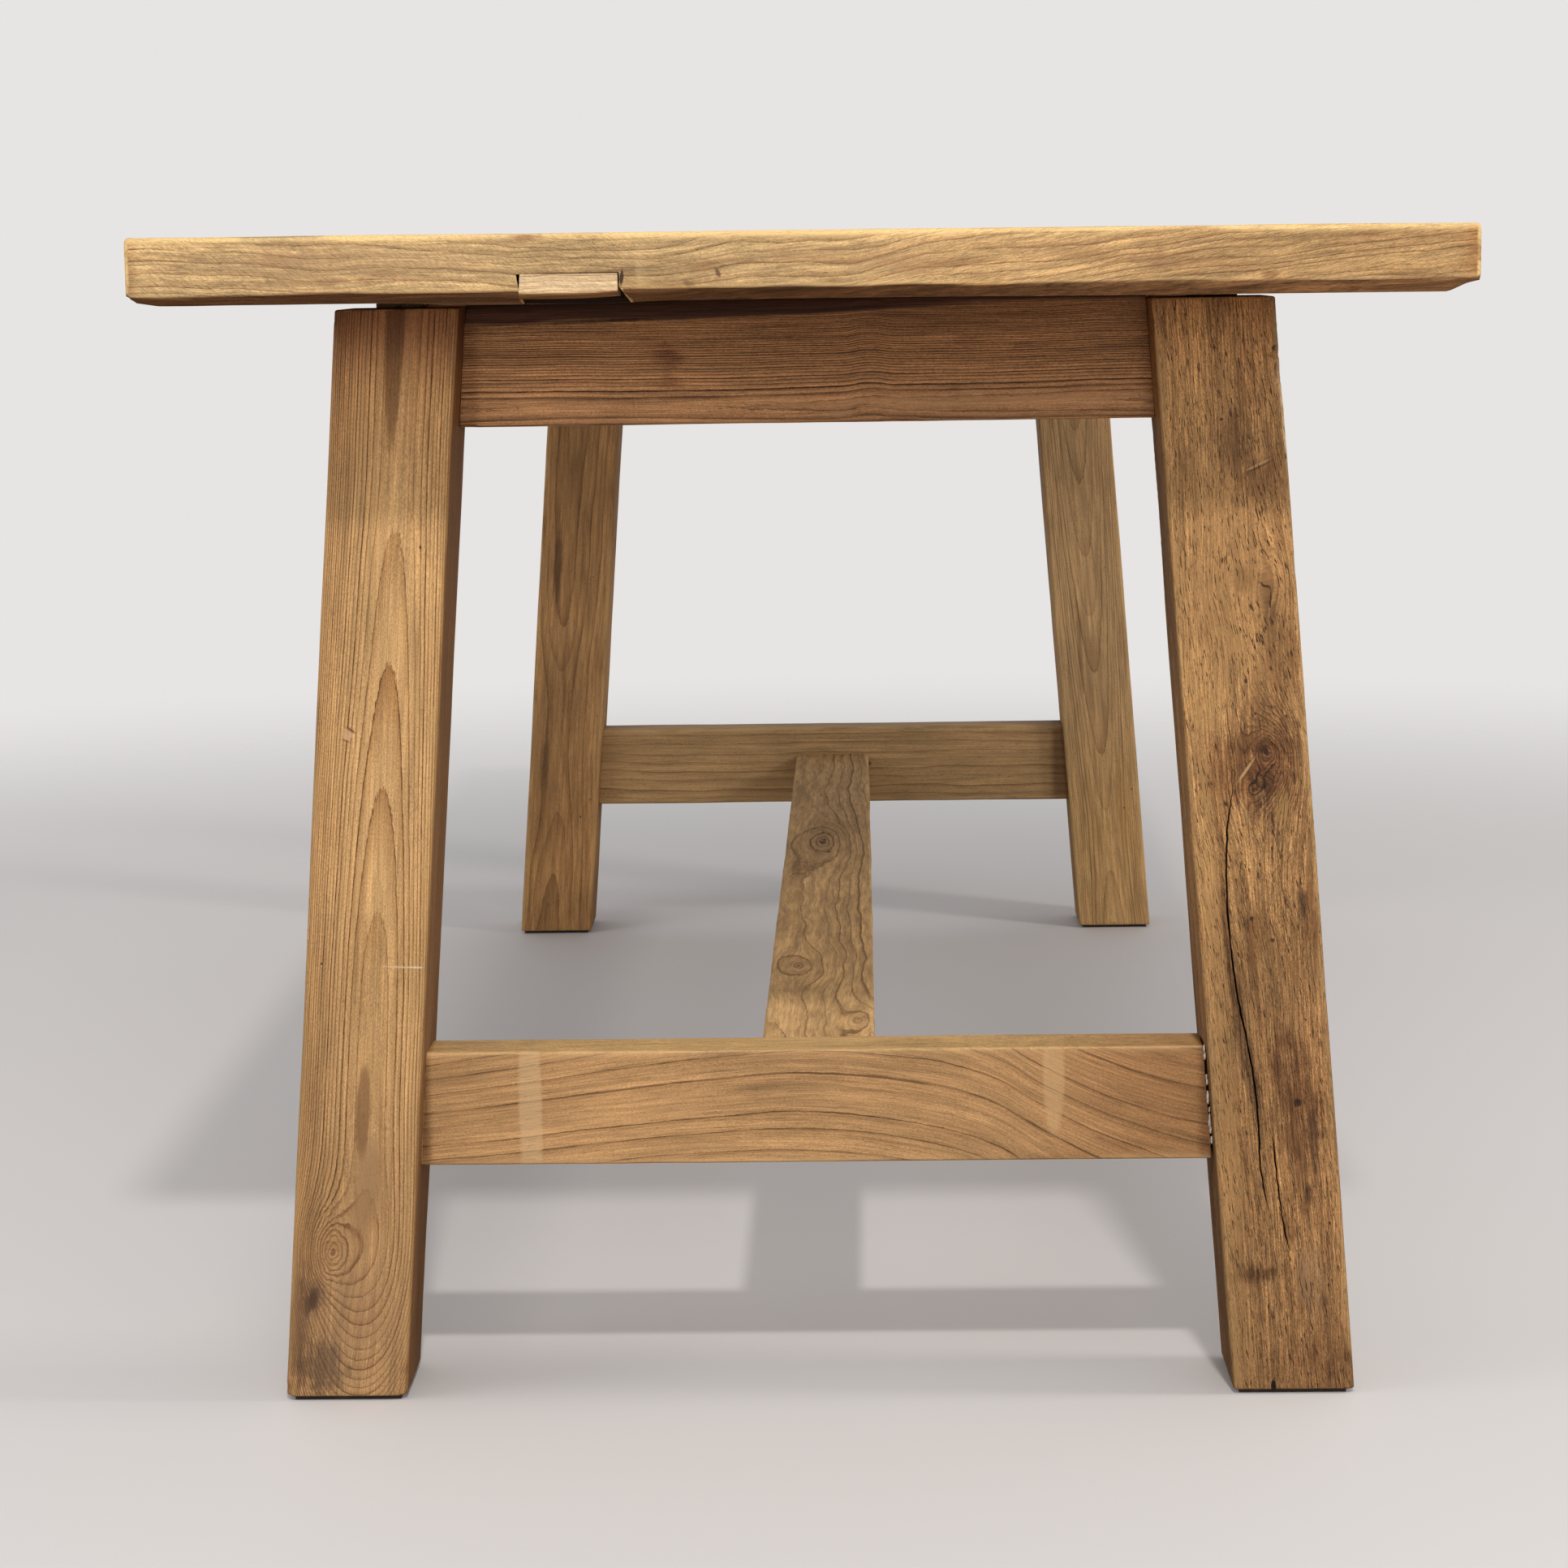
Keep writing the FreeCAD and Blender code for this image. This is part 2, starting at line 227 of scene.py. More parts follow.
def makeRingGroup():
    # growth rings from a radius; the dark line that ends each ring is equally thin wherever it is cut
    tree, inputs = newGroup("growth rings", {
        "Vector": None, "Radius": 0.1, "Slope": 1.0, "Ring Width": 0.002, "Fray": 0.0003, "Unevenness": 0.5,
        "Sharpness": 3.0, "Line Width": 0.0004}, {"Late": "number", "Tone": "number", "Edge": "number"})
    fineWave = inputs["Vector"].noise(1100.0, 2.0, 0.7, (1, 1, 0.09))
    years = (inputs["Radius"] + (fineWave - 0.5) * inputs["Fray"]) / inputs["Ring Width"]
    drift = addNode(tree, "TexNoise", {"noise_dimensions": "1D"}, {"W": years, "Scale": 0.45, "Detail": 1.0})
    years = years + Signal(tree, drift.outputs[0]) * inputs["Unevenness"]
    part = years.math("FRACT", years)
    whole = years.math("FLOOR", years)
    tone = addNode(tree, "TexWhiteNoise", {"noise_dimensions": "1D"}, {"W": whole}).outputs["Value"]
    thinnest, widest = 0.004, 0.25
    line = (inputs["Line Width"] * inputs["Slope"] / inputs["Ring Width"]).atLeast(thinnest).atMost(widest)
    left = 1.0 - part
    drop = left.fade(0.0, line * 0.5)
    edge = 1.0 - left.fade(line, line * 1.8)
    patchy = inputs["Vector"].noise(330.0, 3.0, 0.7, (1, 1, 0.1)).fade(0.34, 0.56, 0.45, 1.0)
    return endGroup(tree, {"Late": part ** inputs["Sharpness"] * drop, "Tone": tone,
                           "Edge": edge * drop * patchy})


def makeFibreGroup():
    # streaks along the grain in three sizes, and the short dark dashes of open pores
    tree, inputs = newGroup("fibre", {
        "Vector": None, "Clump Width": 0.003, "Clump Length": 0.05, "Pore Length": 0.005,
        "Pore Share": 0.5, "Pore Slant": 0.0},
        {"Streak": "number", "Fleck": "number", "Band": "number", "Clump": "number", "Grit": "number"})
    vector = inputs["Vector"]
    wide, long = inputs["Clump Width"], inputs["Clump Length"]
    clumpSize = joinAxes(tree, 1.0 / wide, 1.0 / wide, 1.0 / long)
    x, y, z = vector.axes()
    leaned = joinAxes(tree, x + z * inputs["Pore Slant"], y, z)
    limit = 0.76 - inputs["Pore Share"] * 0.2
    flecks = []
    for width, stretch, shift in ((0.00075, 1.0, 0.0), (0.0005, 1.5, 0.37)):
        size = joinAxes(tree, 1 / width, 1 / width, 1.0 / stretch / inputs["Pore Length"])
        moved = addNode(tree, "VectorMath", {"operation": "ADD"}, {0: leaned, 1: (shift, shift, shift)})
        dashes = Signal(tree, moved.outputs[0]).noise(1.0, 1.0, stretch=size)
        flecks.append(dashes.math("MULTIPLY", dashes - limit, 22.0, clamp=True))
    return endGroup(tree, {
        "Streak": vector.noise(900.0, 3.0, 0.65, (1, 1, 0.02)),
        "Band": vector.noise(170.0, 3.0, 0.6, (1, 1, 0.03)),
        "Grit": vector.noise(1500.0, 2.0, 0.7, (1, 1, 0.4)),
        "Clump": vector.noise(1.0, 3.0, 0.6, clumpSize),
        "Fleck": flecks[0].atLeast(flecks[1])})


def makeWaveGroup():
    # lets the grain wander instead of running dead straight
    tree, inputs = newGroup("wavy grain", {
        "Vector": None, "Amount": 0.002, "Length": 0.08}, {"Vector": "vector"})
    x, y, z = inputs["Vector"].axes()
    wander = inputs["Vector"].noise(1.0 / inputs["Length"])
    return endGroup(tree, {"Vector": joinAxes(tree, x + (wander - 0.5) * inputs["Amount"], y, z)})


def makeKnotGroup():
    # bends the grain round a knot, pushes the rings into an eye, and gives its dark heart
    tree, inputs = newGroup("knot", {
        "Vector": None, "Across": 0.0, "Along": 0.0, "Size": 0.01, "Stretch": 1.6, "Strength": 0.01,
        "Heart": 0.3},
        {"Vector": "vector", "Push": "number", "Heart": "number", "Near": "number"})
    unevenness = 0.35
    x, y, z = inputs["Vector"].axes()
    ragged = inputs["Vector"].noise(160.0, stretch=(1, 1, 0.6))
    a = x - inputs["Across"]
    b = (z - inputs["Along"]) / inputs["Stretch"] + (ragged - 0.5) * (inputs["Size"] * unevenness)
    ratio = (a * a + b * b) / (inputs["Size"] * inputs["Size"])
    bent = a * (ratio / (ratio + 1.0)) + inputs["Across"]
    fall = (ratio + 0.01).root() + ratio * 0.25
    near = fall.math("EXPONENT", fall * -1.0)
    reach = ratio.root() + (ragged - 0.5) * unevenness
    heart = 1.0 - reach.fade(inputs["Heart"] * 0.5, inputs["Heart"])
    return endGroup(tree, {"Vector": joinAxes(tree, bent, y, z), "Push": near * (inputs["Strength"] * -1.0),
                           "Heart": heart, "Near": near})


def turnedAxes(a, b, turn):
    cosine, sine = turn.math("COSINE", turn), turn.math("SINE", turn)
    return a * cosine + b * sine, b * cosine - a * sine


def makeBlotGroup():
    # one stain, scratch, worn spot or painted shadow with a ragged rim
    tree, inputs = newGroup("blot", {
        "Vector": None, "Across": 0.0, "Along": 0.0, "Half Across": 0.01, "Half Along": 0.01, "Turn": 0.0,
        "Softness": 0.5, "Raggedness": 0.5, "Grit": 90.0}, {"Mask": "number"})
    vector = inputs["Vector"]
    x, y, z = vector.axes()
    a, b = turnedAxes(x - inputs["Across"], z - inputs["Along"], inputs["Turn"])
    a, b = a / inputs["Half Across"], b / inputs["Half Along"]
    ragged = vector.noise(inputs["Grit"], 3.0)
    streaky = vector.noise(620.0, 3.0, 0.65, (1, 1, 0.05))
    reach = (a * a + b * b).root() + ((ragged - 0.5) * 2.0 + (streaky - 0.5) * 2.6) * inputs["Raggedness"]
    soft = inputs["Softness"]
    return endGroup(tree, {"Mask": 1.0 - reach.fade(1.0 - soft, 1.0 + soft * 0.3)})


def makeAgeGroup():
    # slow changes of tone, small dark specks and rubbed dirt
    tree, inputs = newGroup("age", {"Vector": None, "Speck Share": 0.3},
                            {"Cloud": "number", "Speck": "number", "Grime": "number"})
    vector = inputs["Vector"]
    cells = addNode(tree, "TexVoronoi", inputs={"Vector": vector, "Scale": 95.0})
    pick = Signal(tree, addNode(tree, "SeparateColor", inputs={0: cells.outputs["Color"]}).outputs[0])
    chosen = pick.fade(1.0 - inputs["Speck Share"] * 0.3, 1.0)
    near = Signal(tree, cells.outputs["Distance"]).fade(0.06, 0.16, 1.0, 0.0)
    return endGroup(tree, {"Cloud": vector.noise(16.0, 4.0, 0.55, (1, 1, 0.3)), "Speck": chosen * near,
                           "Grime": vector.noise(60.0, 5.0, 0.65, (1, 1, 0.22)).fade(0.5, 0.72)})


def makeToolGroup():
    # short slanting hatch left by a saw or a plane, round one half
    tree, inputs = newGroup("tool marks", {"Vector": None, "Turn": 0.6, "Width": 0.001, "Length": 0.01},
                            {"Mark": "number"})
    x, y, z = inputs["Vector"].axes()
    along, across = turnedAxes(z, x, inputs["Turn"])
    turned = joinAxes(tree, across / inputs["Width"], y / inputs["Width"], along / inputs["Length"])
    return endGroup(tree, {"Mark": turned.noise(1.0)})


heartGroup = makeHeartGroup()
archGroup = makeArchGroup()
ringGroup = makeRingGroup()
fibreGroup = makeFibreGroup()
knotGroup = makeKnotGroup()
blotGroup = makeBlotGroup()
ageGroup = makeAgeGroup()
toolGroup = makeToolGroup()
waveGroup = makeWaveGroup()
print("effects built")


# the wood material

woodDefaults = {
    "early": (0.52, 0.31, 0.13), "late": (0.27, 0.13, 0.05), "lateShare": 0.8, "lineShare": 0.4,
    "line": 0.0004, "lineColour": (0.1, 0.045, 0.018), "arches": None, "pith": (0.0, 0.03),
    "lean": (0.0, 0.02), "crest": 0.0, "crestSoft": 0.03, "ring": 0.0025, "bend": 0.004, "fray": 0.0004,
    "uneven": 0.8, "sharp": 2.5, "wave": (0.002, 0.09), "sweep": None, "spread": 0.0, "streak": 0.5,
    "grit": 0.3, "band": 0.5, "clump": 0.4, "clumpSize": (0.003, 0.05), "pores": 0.3, "poreShare": 0.4,
    "poreLength": 0.005, "poreSlant": 0.0, "cloud": 0.35, "grime": 0.25, "specks": 0.2, "rough": 0.62,
    "gloss": 0.25, "relief": 0.5, "deep": 0.0006, "arrisColour": (0.7, 0.46, 0.2), "arrisShare": 0.35,
    "waneShadeColour": (0.2, 0.095, 0.035), "speckColour": (0.03, 0.015, 0.008),
    "crackColour": (0.02, 0.011, 0.006), "frontSide": -1.0, "frontDepth": 0.034, "sides": [], "calm": None,
    "knots": [], "blots": [], "marks": [],
}
archDefaults = {"beyond": 1.0, "foot": -1.0, "footLength": 0.034, "stepAlong": -1.0, "stepYears": 0.0}
knotDefaults = {"stretch": 1.6, "push": 0.01, "heart": 0.3, "shade": 0.5, "dark": 0.9, "lines": 0.0}
blotDefaults = {"share": 0.6, "turn": 0.0, "soft": 0.6, "ragged": 0.4, "grit": 90.0, "blend": "MIX"}


def sweepGrain(vector, look):
    # the grain's line along the timber, drawn as a curve of rises in metres
    points, tree = look["sweep"], vector.tree
    low, high = points[0][0], points[-1][0]
    reach = max(abs(rise) for _, rise in points)
    x, y, z = vector.axes()
    share = addNode(tree, "MapRange", inputs={"Value": z, "From Min": low, "From Max": high})
    curve = addNode(tree, "FloatCurve", inputs={"Value": share.outputs["Result"]})
    line = curve.mapping.curves[0]
    spots = [((along - low) / (high - low), 0.5 + 0.5 * rise / reach) for along, rise in points]
    line.points[0].location, line.points[1].location = spots[0], spots[-1]
    for spot in spots[1:-1]:
        line.points.new(*spot)
    curve.mapping.update()
    rise = (Signal(tree, curve.outputs[0]) - 0.5) * (2 * reach)
    return joinAxes(tree, (x - rise) * (1.0 - z * look["spread"]), y, z)


def toned(colour, pattern, amount):
    # lighter and darker by a pattern that lies round one half
    strength, darkest = 3.0, 0.25
    factor = (1.0 + (pattern - 0.5) * (amount * strength)).atLeast(darkest)
    scaled = addNode(pattern.tree, "VectorMath", {"operation": "SCALE"}, {"Vector": colour, "Scale": factor})
    return Signal(pattern.tree, scaled.outputs[0])


def figureOf(grain, look):
    # how far out in the trunk each spot lies, and how steeply the rings meet the surface
    shared = {"Vector": grain, "Crest": look["crest"], "Crest Softness": look["crestSoft"],
              "Bend": look["bend"]}
    if not look["arches"]:
        return useGroup(grain.tree, heartGroup, {
            **shared, "Pith Across": look["pith"][0], "Pith Depth": look["pith"][1],
            "Lean Across": look["lean"][0], "Lean Depth": look["lean"][1]})
    arches = {**archDefaults, **look["arches"]}
    return useGroup(grain.tree, archGroup, {
        **shared, "Centre": arches["centre"], "Half Width": arches["halfWidth"], "Power": arches["power"],
        "Ring Width": look["ring"], "Arch Length": arches["length"], "Beyond": arches["beyond"],
        "Start": arches["start"], "Foot": arches["foot"], "Foot Length": arches["footLength"],
        "Step Along": arches["stepAlong"], "Step Years": arches["stepYears"], "Front": arches["front"],
        "Depth Share": arches["depthShare"]})


def paintSides(colour, place, sides, blend):
    # a face or an end that differs in tone; some are the wood's own tone, others painted light and shade
    for side in sides:
        reach = place[side["axis"]] * side["sign"]
        amount = reach.fade(side["from"], side["to"]) * side["share"]
        colour = mixColour(amount, colour, side["colour"], blend)
    return colour


def paintBlots(colour, here, onFront, blots):
    for changes in blots:
        blot = {**blotDefaults, **changes}
        mask = useGroup(here.tree, blotGroup, {
            "Vector": here, "Across": blot["across"], "Along": blot["along"], "Half Across": blot["half"][0],
            "Half Along": blot["half"][1], "Turn": blot["turn"], "Softness": blot["soft"],
            "Raggedness": blot["ragged"], "Grit": blot["grit"]})["Mask"]
        colour = mixColour(mask * onFront * blot["share"], colour, blot["colour"], blot["blend"])
    return colour


def blankMaterial(name):
    material = bpy.data.materials.new(name)
    material.use_nodes = True
    material.node_tree.nodes.clear()
    return material, material.node_tree


def woodMaterial(name, grainFrame, changes):
    look = {**woodDefaults, **changes}
    material, tree = blankMaterial(name)
    toLocal = grainFrame.inverted()
    spot = addNode(tree, "TexCoord").outputs["Object"]
    mapping = addNode(tree, "Mapping", inputs={
        "Vector": spot, "Location": toLocal.to_translation(), "Rotation": toLocal.to_euler()})
    here = Signal(tree, mapping.outputs[0])
    place = here.axes()

    # the grain, bent round the knots, and the rings in it
    grain = sweepGrain(here, look) if look["sweep"] else here
    grain = useGroup(tree, waveGroup, {
        "Vector": grain, "Amount": look["wave"][0], "Length": look["wave"][1]})["Vector"]
    push, knots = 0.0, []
    for changes in look["knots"]:
        knot = {**knotDefaults, **changes}
        found = useGroup(tree, knotGroup, {
            "Vector": grain, "Across": knot["across"], "Along": knot["along"], "Size": knot["size"],
            "Stretch": knot["stretch"], "Strength": knot["push"], "Heart": knot["heart"]})
        grain = found["Vector"]
        push = grain.math("ADD", push, found["Push"])
        knots.append((knot, found))
    figure = figureOf(grain, look)
    slope = figure["Slope"]
    for knot, found in knots:  # round a knot the rings lie steeper
        slope = slope + found["Near"] * (knot["push"] / knot["size"])
    rings = useGroup(tree, ringGroup, {
        "Vector": grain, "Radius": figure["Radius"] + push, "Slope": slope, "Ring Width": look["ring"],
        "Fray": look["fray"], "Unevenness": look["uneven"], "Sharpness": look["sharp"],
        "Line Width": look["line"]})
    fibre = useGroup(tree, fibreGroup, {
        "Vector": grain, "Clump Width": look["clumpSize"][0], "Clump Length": look["clumpSize"][1],
        "Pore Length": look["poreLength"], "Pore Share": look["poreShare"], "Pore Slant": look["poreSlant"]})
    age = useGroup(tree, ageGroup, {"Vector": here, "Speck Share": look["specks"]})

    # colour: rings, fibres, knots, blots, pores, then whole faces
    toneSpread, dark = 0.6, tuple(channel * 0.4 for channel in look["late"])
    toneAmount = rings["Tone"] * toneSpread + (1 - toneSpread)
    late = rings["Late"] * toneAmount * look["lateShare"]
    colour = mixColour(late, look["early"], look["late"])
    edgeShare = look["lineShare"]
    for knot, found in knots:
        edgeShare = late.math("ADD", edgeShare, found["Near"] * knot["lines"], clamp=True)
    edge = rings["Edge"] * toneAmount * edgeShare
    if look["calm"]:  # an end where the lines are fainter
        edge = edge * place[2].fade(*look["calm"], 1.0)
    colour = mixColour(edge, colour, look["lineColour"])
    colour = paintSides(colour, place, [side for side in look["sides"] if side.get("under")], "MIX")
    for pattern, amount in ((fibre["Band"], look["band"]), (fibre["Clump"], look["clump"]),
                            (fibre["Streak"], look["streak"]), (fibre["Grit"], look["grit"]),
                            (age["Cloud"], look["cloud"])):
        colour = toned(colour, pattern, amount)
    colour = mixColour(age["Grime"] * look["grime"], colour, look["late"])
    for knot, found in knots:
        colour = mixColour(found["Near"] * knot["shade"], colour, look["late"])
        colour = mixColour(found["Heart"] * knot["dark"], colour, dark)
    frontSoft, speckShare = 0.003, 0.8
    onFront = (place[1] * look["frontSide"]).fade(look["frontDepth"], look["frontDepth"] + frontSoft)
    colour = paintBlots(colour, here, onFront, look["blots"])
    colour = mixColour(fibre["Fleck"] * look["pores"], colour, dark)
    colour = mixColour(age["Speck"] * speckShare, colour, look["speckColour"])
    colour = paintSides(colour, place, [side for side in look["sides"] if not side.get("under")], "MULTIPLY")

    # worn arrises, dark wane bevels and cracks come with the mesh; the bevels' darkness is partly their own
    # colour, partly painted shade
    arris, waneShade, crack = (Signal(tree, addNode(tree, "Attribute", {"attribute_name": label}).outputs["Fac"])
                          for label in ("arris", "waneShade", "crack"))
    arrisNoise = here.noise(110.0, 3.0, stretch=(1, 1, 0.2)).fade(0.3, 0.6)
    colour = mixColour(arris * arrisNoise * look["arrisShare"], colour, look["arrisColour"])
    # the bevel colour: the wood's dark wane together with painted shade on bevels that face down
    waneShadeReach, waneShadeContrast = 0.38, 0.8
    waneShadeColours = look["waneShadeColour"], look.get("waneShadeEnd", look["waneShadeColour"])
    waneShading = mixColour(place[2].fade(0.0, waneShadeReach), *waneShadeColours)
    waneShading = toned(toned(waneShading, fibre["Band"], waneShadeContrast), fibre["Streak"], waneShadeContrast)
    colour = mixColour(waneShade, colour, waneShading)
    colour = mixColour(crack.fade(0.05, 0.7), colour, look["crackColour"])

    height = rings["Late"] * look["relief"] + fibre["Streak"] * 0.5 + fibre["Clump"] * 0.3
    height = height - fibre["Fleck"] * look["pores"] - age["Speck"] * speckShare
    for marks in look["marks"]:
        mark = useGroup(tree, toolGroup, {"Vector": here, "Turn": marks["turn"], "Width": marks["width"],
                                          "Length": marks["length"]})["Mark"]
        window = place[2].fade(*marks["from"]) * place[2].fade(*marks["to"], 1.0, 0.0)
        mark = (mark - 0.5) * window
        colour = toned(colour, mark + 0.5, marks["share"])
        height = height + mark * (marks["share"] * 2)
    bump = addNode(tree, "Bump", inputs={"Height": height, "Strength": 0.9, "Distance": look["deep"]})
    rough = late * 0.1 + look["rough"] + (fibre["Streak"] - 0.5) * 0.2
    shader = addNode(tree, "BsdfPrincipled", inputs={
        "Base Color": colour, "Roughness": rough, "Normal": bump.outputs[0],
        "Specular IOR Level": look["gloss"]})
    addNode(tree, "OutputMaterial", inputs={"Surface": shader.outputs[0]})
    return material


# timbers as swept sections

sharpAngle = 42
faceBand = 0.006  # stains, worn spots and painted shadows stay in the front face, this deep
right, back, up = Vector((1, 0, 0)), Vector((0, 1, 0)), Vector((0, 0, 1))
front, down = Vector((0, -1, 0)), Vector((0, 0, -1))


def roughNoise(x, y, z):
    return noise.noise(Vector((x, y, z)))


def cornerPath(corner, size, half):
    # points from one face to the next round a corner; corners run anticlockwise from (-u, -v)
    signU, signV = ((-1, -1), (1, -1), (1, 1), (-1, 1))[corner]
    a, b, bulge, waneShade = size
    steps, slant = 3, 0.707
    points = []
    for step in range(1, steps + 1):
        straight = step / (steps + 1)
        angle = straight * math.pi / 2
        leaving = (1 - math.sin(angle)) * bulge + (1 - straight) * (1 - bulge)
        reaching = (1 - math.cos(angle)) * bulge + straight * (1 - bulge)
        if corner in (0, 2):  # these two start on the side faces
            leaving, reaching = reaching, leaving
        points.append((signU * (half[0] - a * leaving), signV * (half[1] - b * reaching), signU * slant,
                       signV * slant, 1.0 - waneShade, 0.0, waneShade))
    return points


def frontColumns(low, high, count, cracks, along):
    # column places over the front face; three columns follow each crack
    wander, taperShare, thinnest, shallow = 0.0006, 0.12, 0.00012, 0.0005
    base = np.linspace(low, high, count)
    marks = np.zeros(count)
    pulls = []
    for crack in cracks:
        spots = crack["path"]
        if not spots[0][1] >= along >= spots[-1][1]:
            continue
        heights = [spot[1] for spot in reversed(spots)]
        places = [spot[0] for spot in reversed(spots)]
        centre = float(np.interp(along, heights, places))
        centre += wander * roughNoise(along * 160, crack["column"], 0.0)
        tail = (heights[-1] - heights[0]) * taperShare + 1e-6
        taper = max(0.0, min(1.0, (heights[-1] - along) / tail, (along - heights[0]) / tail))
        gap = crack["width"] * 0.5 * taper * (0.8 + 0.4 * roughNoise(along * 60, 3.0, crack["column"]))
        pulls.append((crack["column"], centre, max(gap, thinnest), crack["depth"] * taper))
    if not pulls:
        return base, marks, marks.copy()
    pulls.sort()
    anchors, targets = [0], [low]
    deep = np.zeros(count)
    for column, centre, gap, depth in pulls:
        anchors += [column - 1, column, column + 1]
        targets += [centre - gap, centre, centre + gap]
        deep[column] = depth
        marks[column] = min(1.0, depth / shallow)
    anchors.append(count - 1)
    targets.append(high)
    return np.interp(np.arange(count), anchors, targets), marks, deep


def sectionRing(half, shape, along, inset):
    # one ring of (u, v, normalU, normalV, arris, crack, wane mark) round the timber; the wane mark colours
    # dark bevels, partly as painted shade
    hu, hv = half = (half[0] - inset, half[1] - inset)
    edgeSwing, thinnest = 0.55, 0.0004
    sizes = []
    for corner in range(4):
        a = b = shape["edge"] * (1 + edgeSwing * roughNoise(along * 14, corner * 7.3, shape["seed"]))
        bulge, waneShade = 1.0, 0.0
        for bevel in shape.get("bevels", []):
            if bevel["corner"] == corner:
                wobble = 1 + bevel.get("wobble", 0.1) * roughNoise(along * 22, corner, shape["seed"] + 5.5)
                a = float(np.interp(along, bevel["along"], bevel["across"])) * wobble
                b = float(np.interp(along, bevel["along"], bevel["deep"])) * wobble
                bulge = bevel.get("bulge", 0.25)
                waneShade = bevel.get("waneShade", 0.0)
        for chip in shape.get("chips", []):
            if chip["corner"] == corner:
                reach = abs(along - chip["along"]) / chip["half"]
                if reach < 1:
                    amount = (1 - reach ** 4) * (1 + 0.5 * roughNoise(along * 300, corner, 8.1))
                    a += chip["across"] * amount
                    b += chip["deep"] * amount
                    bulge = min(bulge, 0.2)
        sizes.append((max(a, thinnest), max(b, thinnest), bulge, waneShade))
    countU, countV = shape["columns"]
    (a0, b0, _, waneShade0), (a1, b1, _, waneShade1), (a2, b2, _, waneShade2), (a3, b3, _, waneShade3) = sizes
    ring = []

    def face(points, marks, depths, sideways, sign, fixed, waneShading):
        low, high = points[0], points[-1]
        waneShadings = [waneShading[0]] + [0.0] * (len(points) - 2) + [waneShading[1]]
        for place, mark, deep, waneShade in zip(points, marks, depths, waneShadings):
            edgeDistance = min(abs(place - low), abs(place - high))
            arris = max(0.0, 0.75 * (1 - edgeDistance / shape.get("arrisReach", 0.004)))
            normal = (0.0, sign) if sideways else (sign, 0.0)
            spot = (place, sign * (fixed - deep)) if sideways else (sign * fixed, place)
            ring.append((*spot, *normal, arris, mark, waneShade))

    columns, marks, depths = frontColumns(-hu + a0, hu - a1, countU, shape.get("cracks", []), along)
    face(columns, marks, depths, True, -1, hv, (waneShade0, waneShade1))
    ring.extend(cornerPath(1, sizes[1], half))
    blank = [0.0] * max(countU, countV)
    face(np.linspace(-hv + b1, hv - b2, countV), blank, blank, False, 1, hu, (waneShade1, waneShade2))
    ring.extend(cornerPath(2, sizes[2], half))
    face(np.linspace(hu - a2, -hu + a3, countU), blank, blank, True, 1, hv, (waneShade2, waneShade3))
    ring.extend(cornerPath(3, sizes[3], half))
    face(np.linspace(hv - b3, -hv + b0, countV), blank, blank, False, -1, hu, (waneShade3, waneShade0))
    ring.extend(cornerPath(0, sizes[0], half))
    return ring


def surfaceOffset(u, v, along, normalU, normalV, shape):
    # how far the surface stands in or out, as planed and worn timber does
    side = 3.1 * normalU + 5.7 * normalV + shape["seed"]
    offset = shape["wave"] * roughNoise(along * 7, u * 18 + side, v * 18)
    offset += shape["wave"] * 0.35 * roughNoise(along * 26, u * 70 + side, v * 70)
    for dent in shape.get("dents", []):
        reach = math.hypot((u - dent["across"]) / dent["half"][0], (along - dent["along"]) / dent["half"][1])
        if normalV < -0.9 and reach < 1:  # dents lie in the front face
            offset -= dent["depth"] * (1 - reach * reach) ** 2
    return offset


def timber(name, half, length, shape, place):
    # sweeps the section along the timber and closes both ends; place() turns (u, v, w) into scene axes
    rounding, capRings = shape["endRound"], (0.9, 0.7, 0.45, 0.2)
    ends = [(rounding * (1 - math.cos(angle)), rounding * (1 - math.sin(angle)))
            for angle in np.linspace(0, math.pi / 2, 4)[:-1]]
    middle = np.linspace(rounding, length - rounding, max(2, int(length / shape["step"])))
    stations = ends + [(w, 0.0) for w in middle] + [(length - w, inset) for w, inset in reversed(ends)]
    local, arris, crack, waneShade = [], [], [], []
    for w, inset in stations:
        for u, v, normalU, normalV, edge, mark, waneShading in sectionRing(half, shape, w, inset):
            out = surfaceOffset(u, v, w, normalU, normalV, shape)
            local.append((u + normalU * out, v + normalV * out, w))
            arris.append(edge if inset == 0 else 1.0)
            crack.append(mark)
            waneShade.append(waneShading)
    ringSize = len(local) // len(stations)
    faces = []
    for station in range(len(stations) - 1):
        start, following = station * ringSize, (station + 1) * ringSize
        for index in range(ringSize):
            beside = (index + 1) % ringSize
            faces.append((start + index, start + beside, following + beside, following + index))
    for first, flip in ((0, True), ((len(stations) - 1) * ringSize, False)):
        outer = list(range(first, first + ringSize))
        rim = np.array([local[index] for index in outer])
        centre = rim.mean(axis=0)
        for shrink in capRings:
            inner = []
            for spot in rim:
                inner.append(len(local))
                local.append(tuple(centre + (spot - centre) * shrink))
                arris.append(0.0)
                crack.append(0.0)
                waneShade.append(0.0)
            for index in range(ringSize):
                beside = (index + 1) % ringSize
                quad = (outer[index], outer[beside], inner[beside], inner[index])
                faces.append(quad[::-1] if flip else quad)
            outer = inner
        faces.append(tuple(outer[::-1] if flip else outer))
    world = place(np.array(local))
    mesh = bpy.data.meshes.new(name)
    mesh.from_pydata(world.tolist(), [], faces)
    for label, values in (("arris", arris), ("crack", crack), ("waneShade", waneShade)):
        mesh.attributes.new(label, "FLOAT", "POINT").data.foreach_set("value", np.array(values, np.float32))
    mesh.validate()
    smoothMesh(mesh, sharpAngle)
    return addPiece(name, mesh)


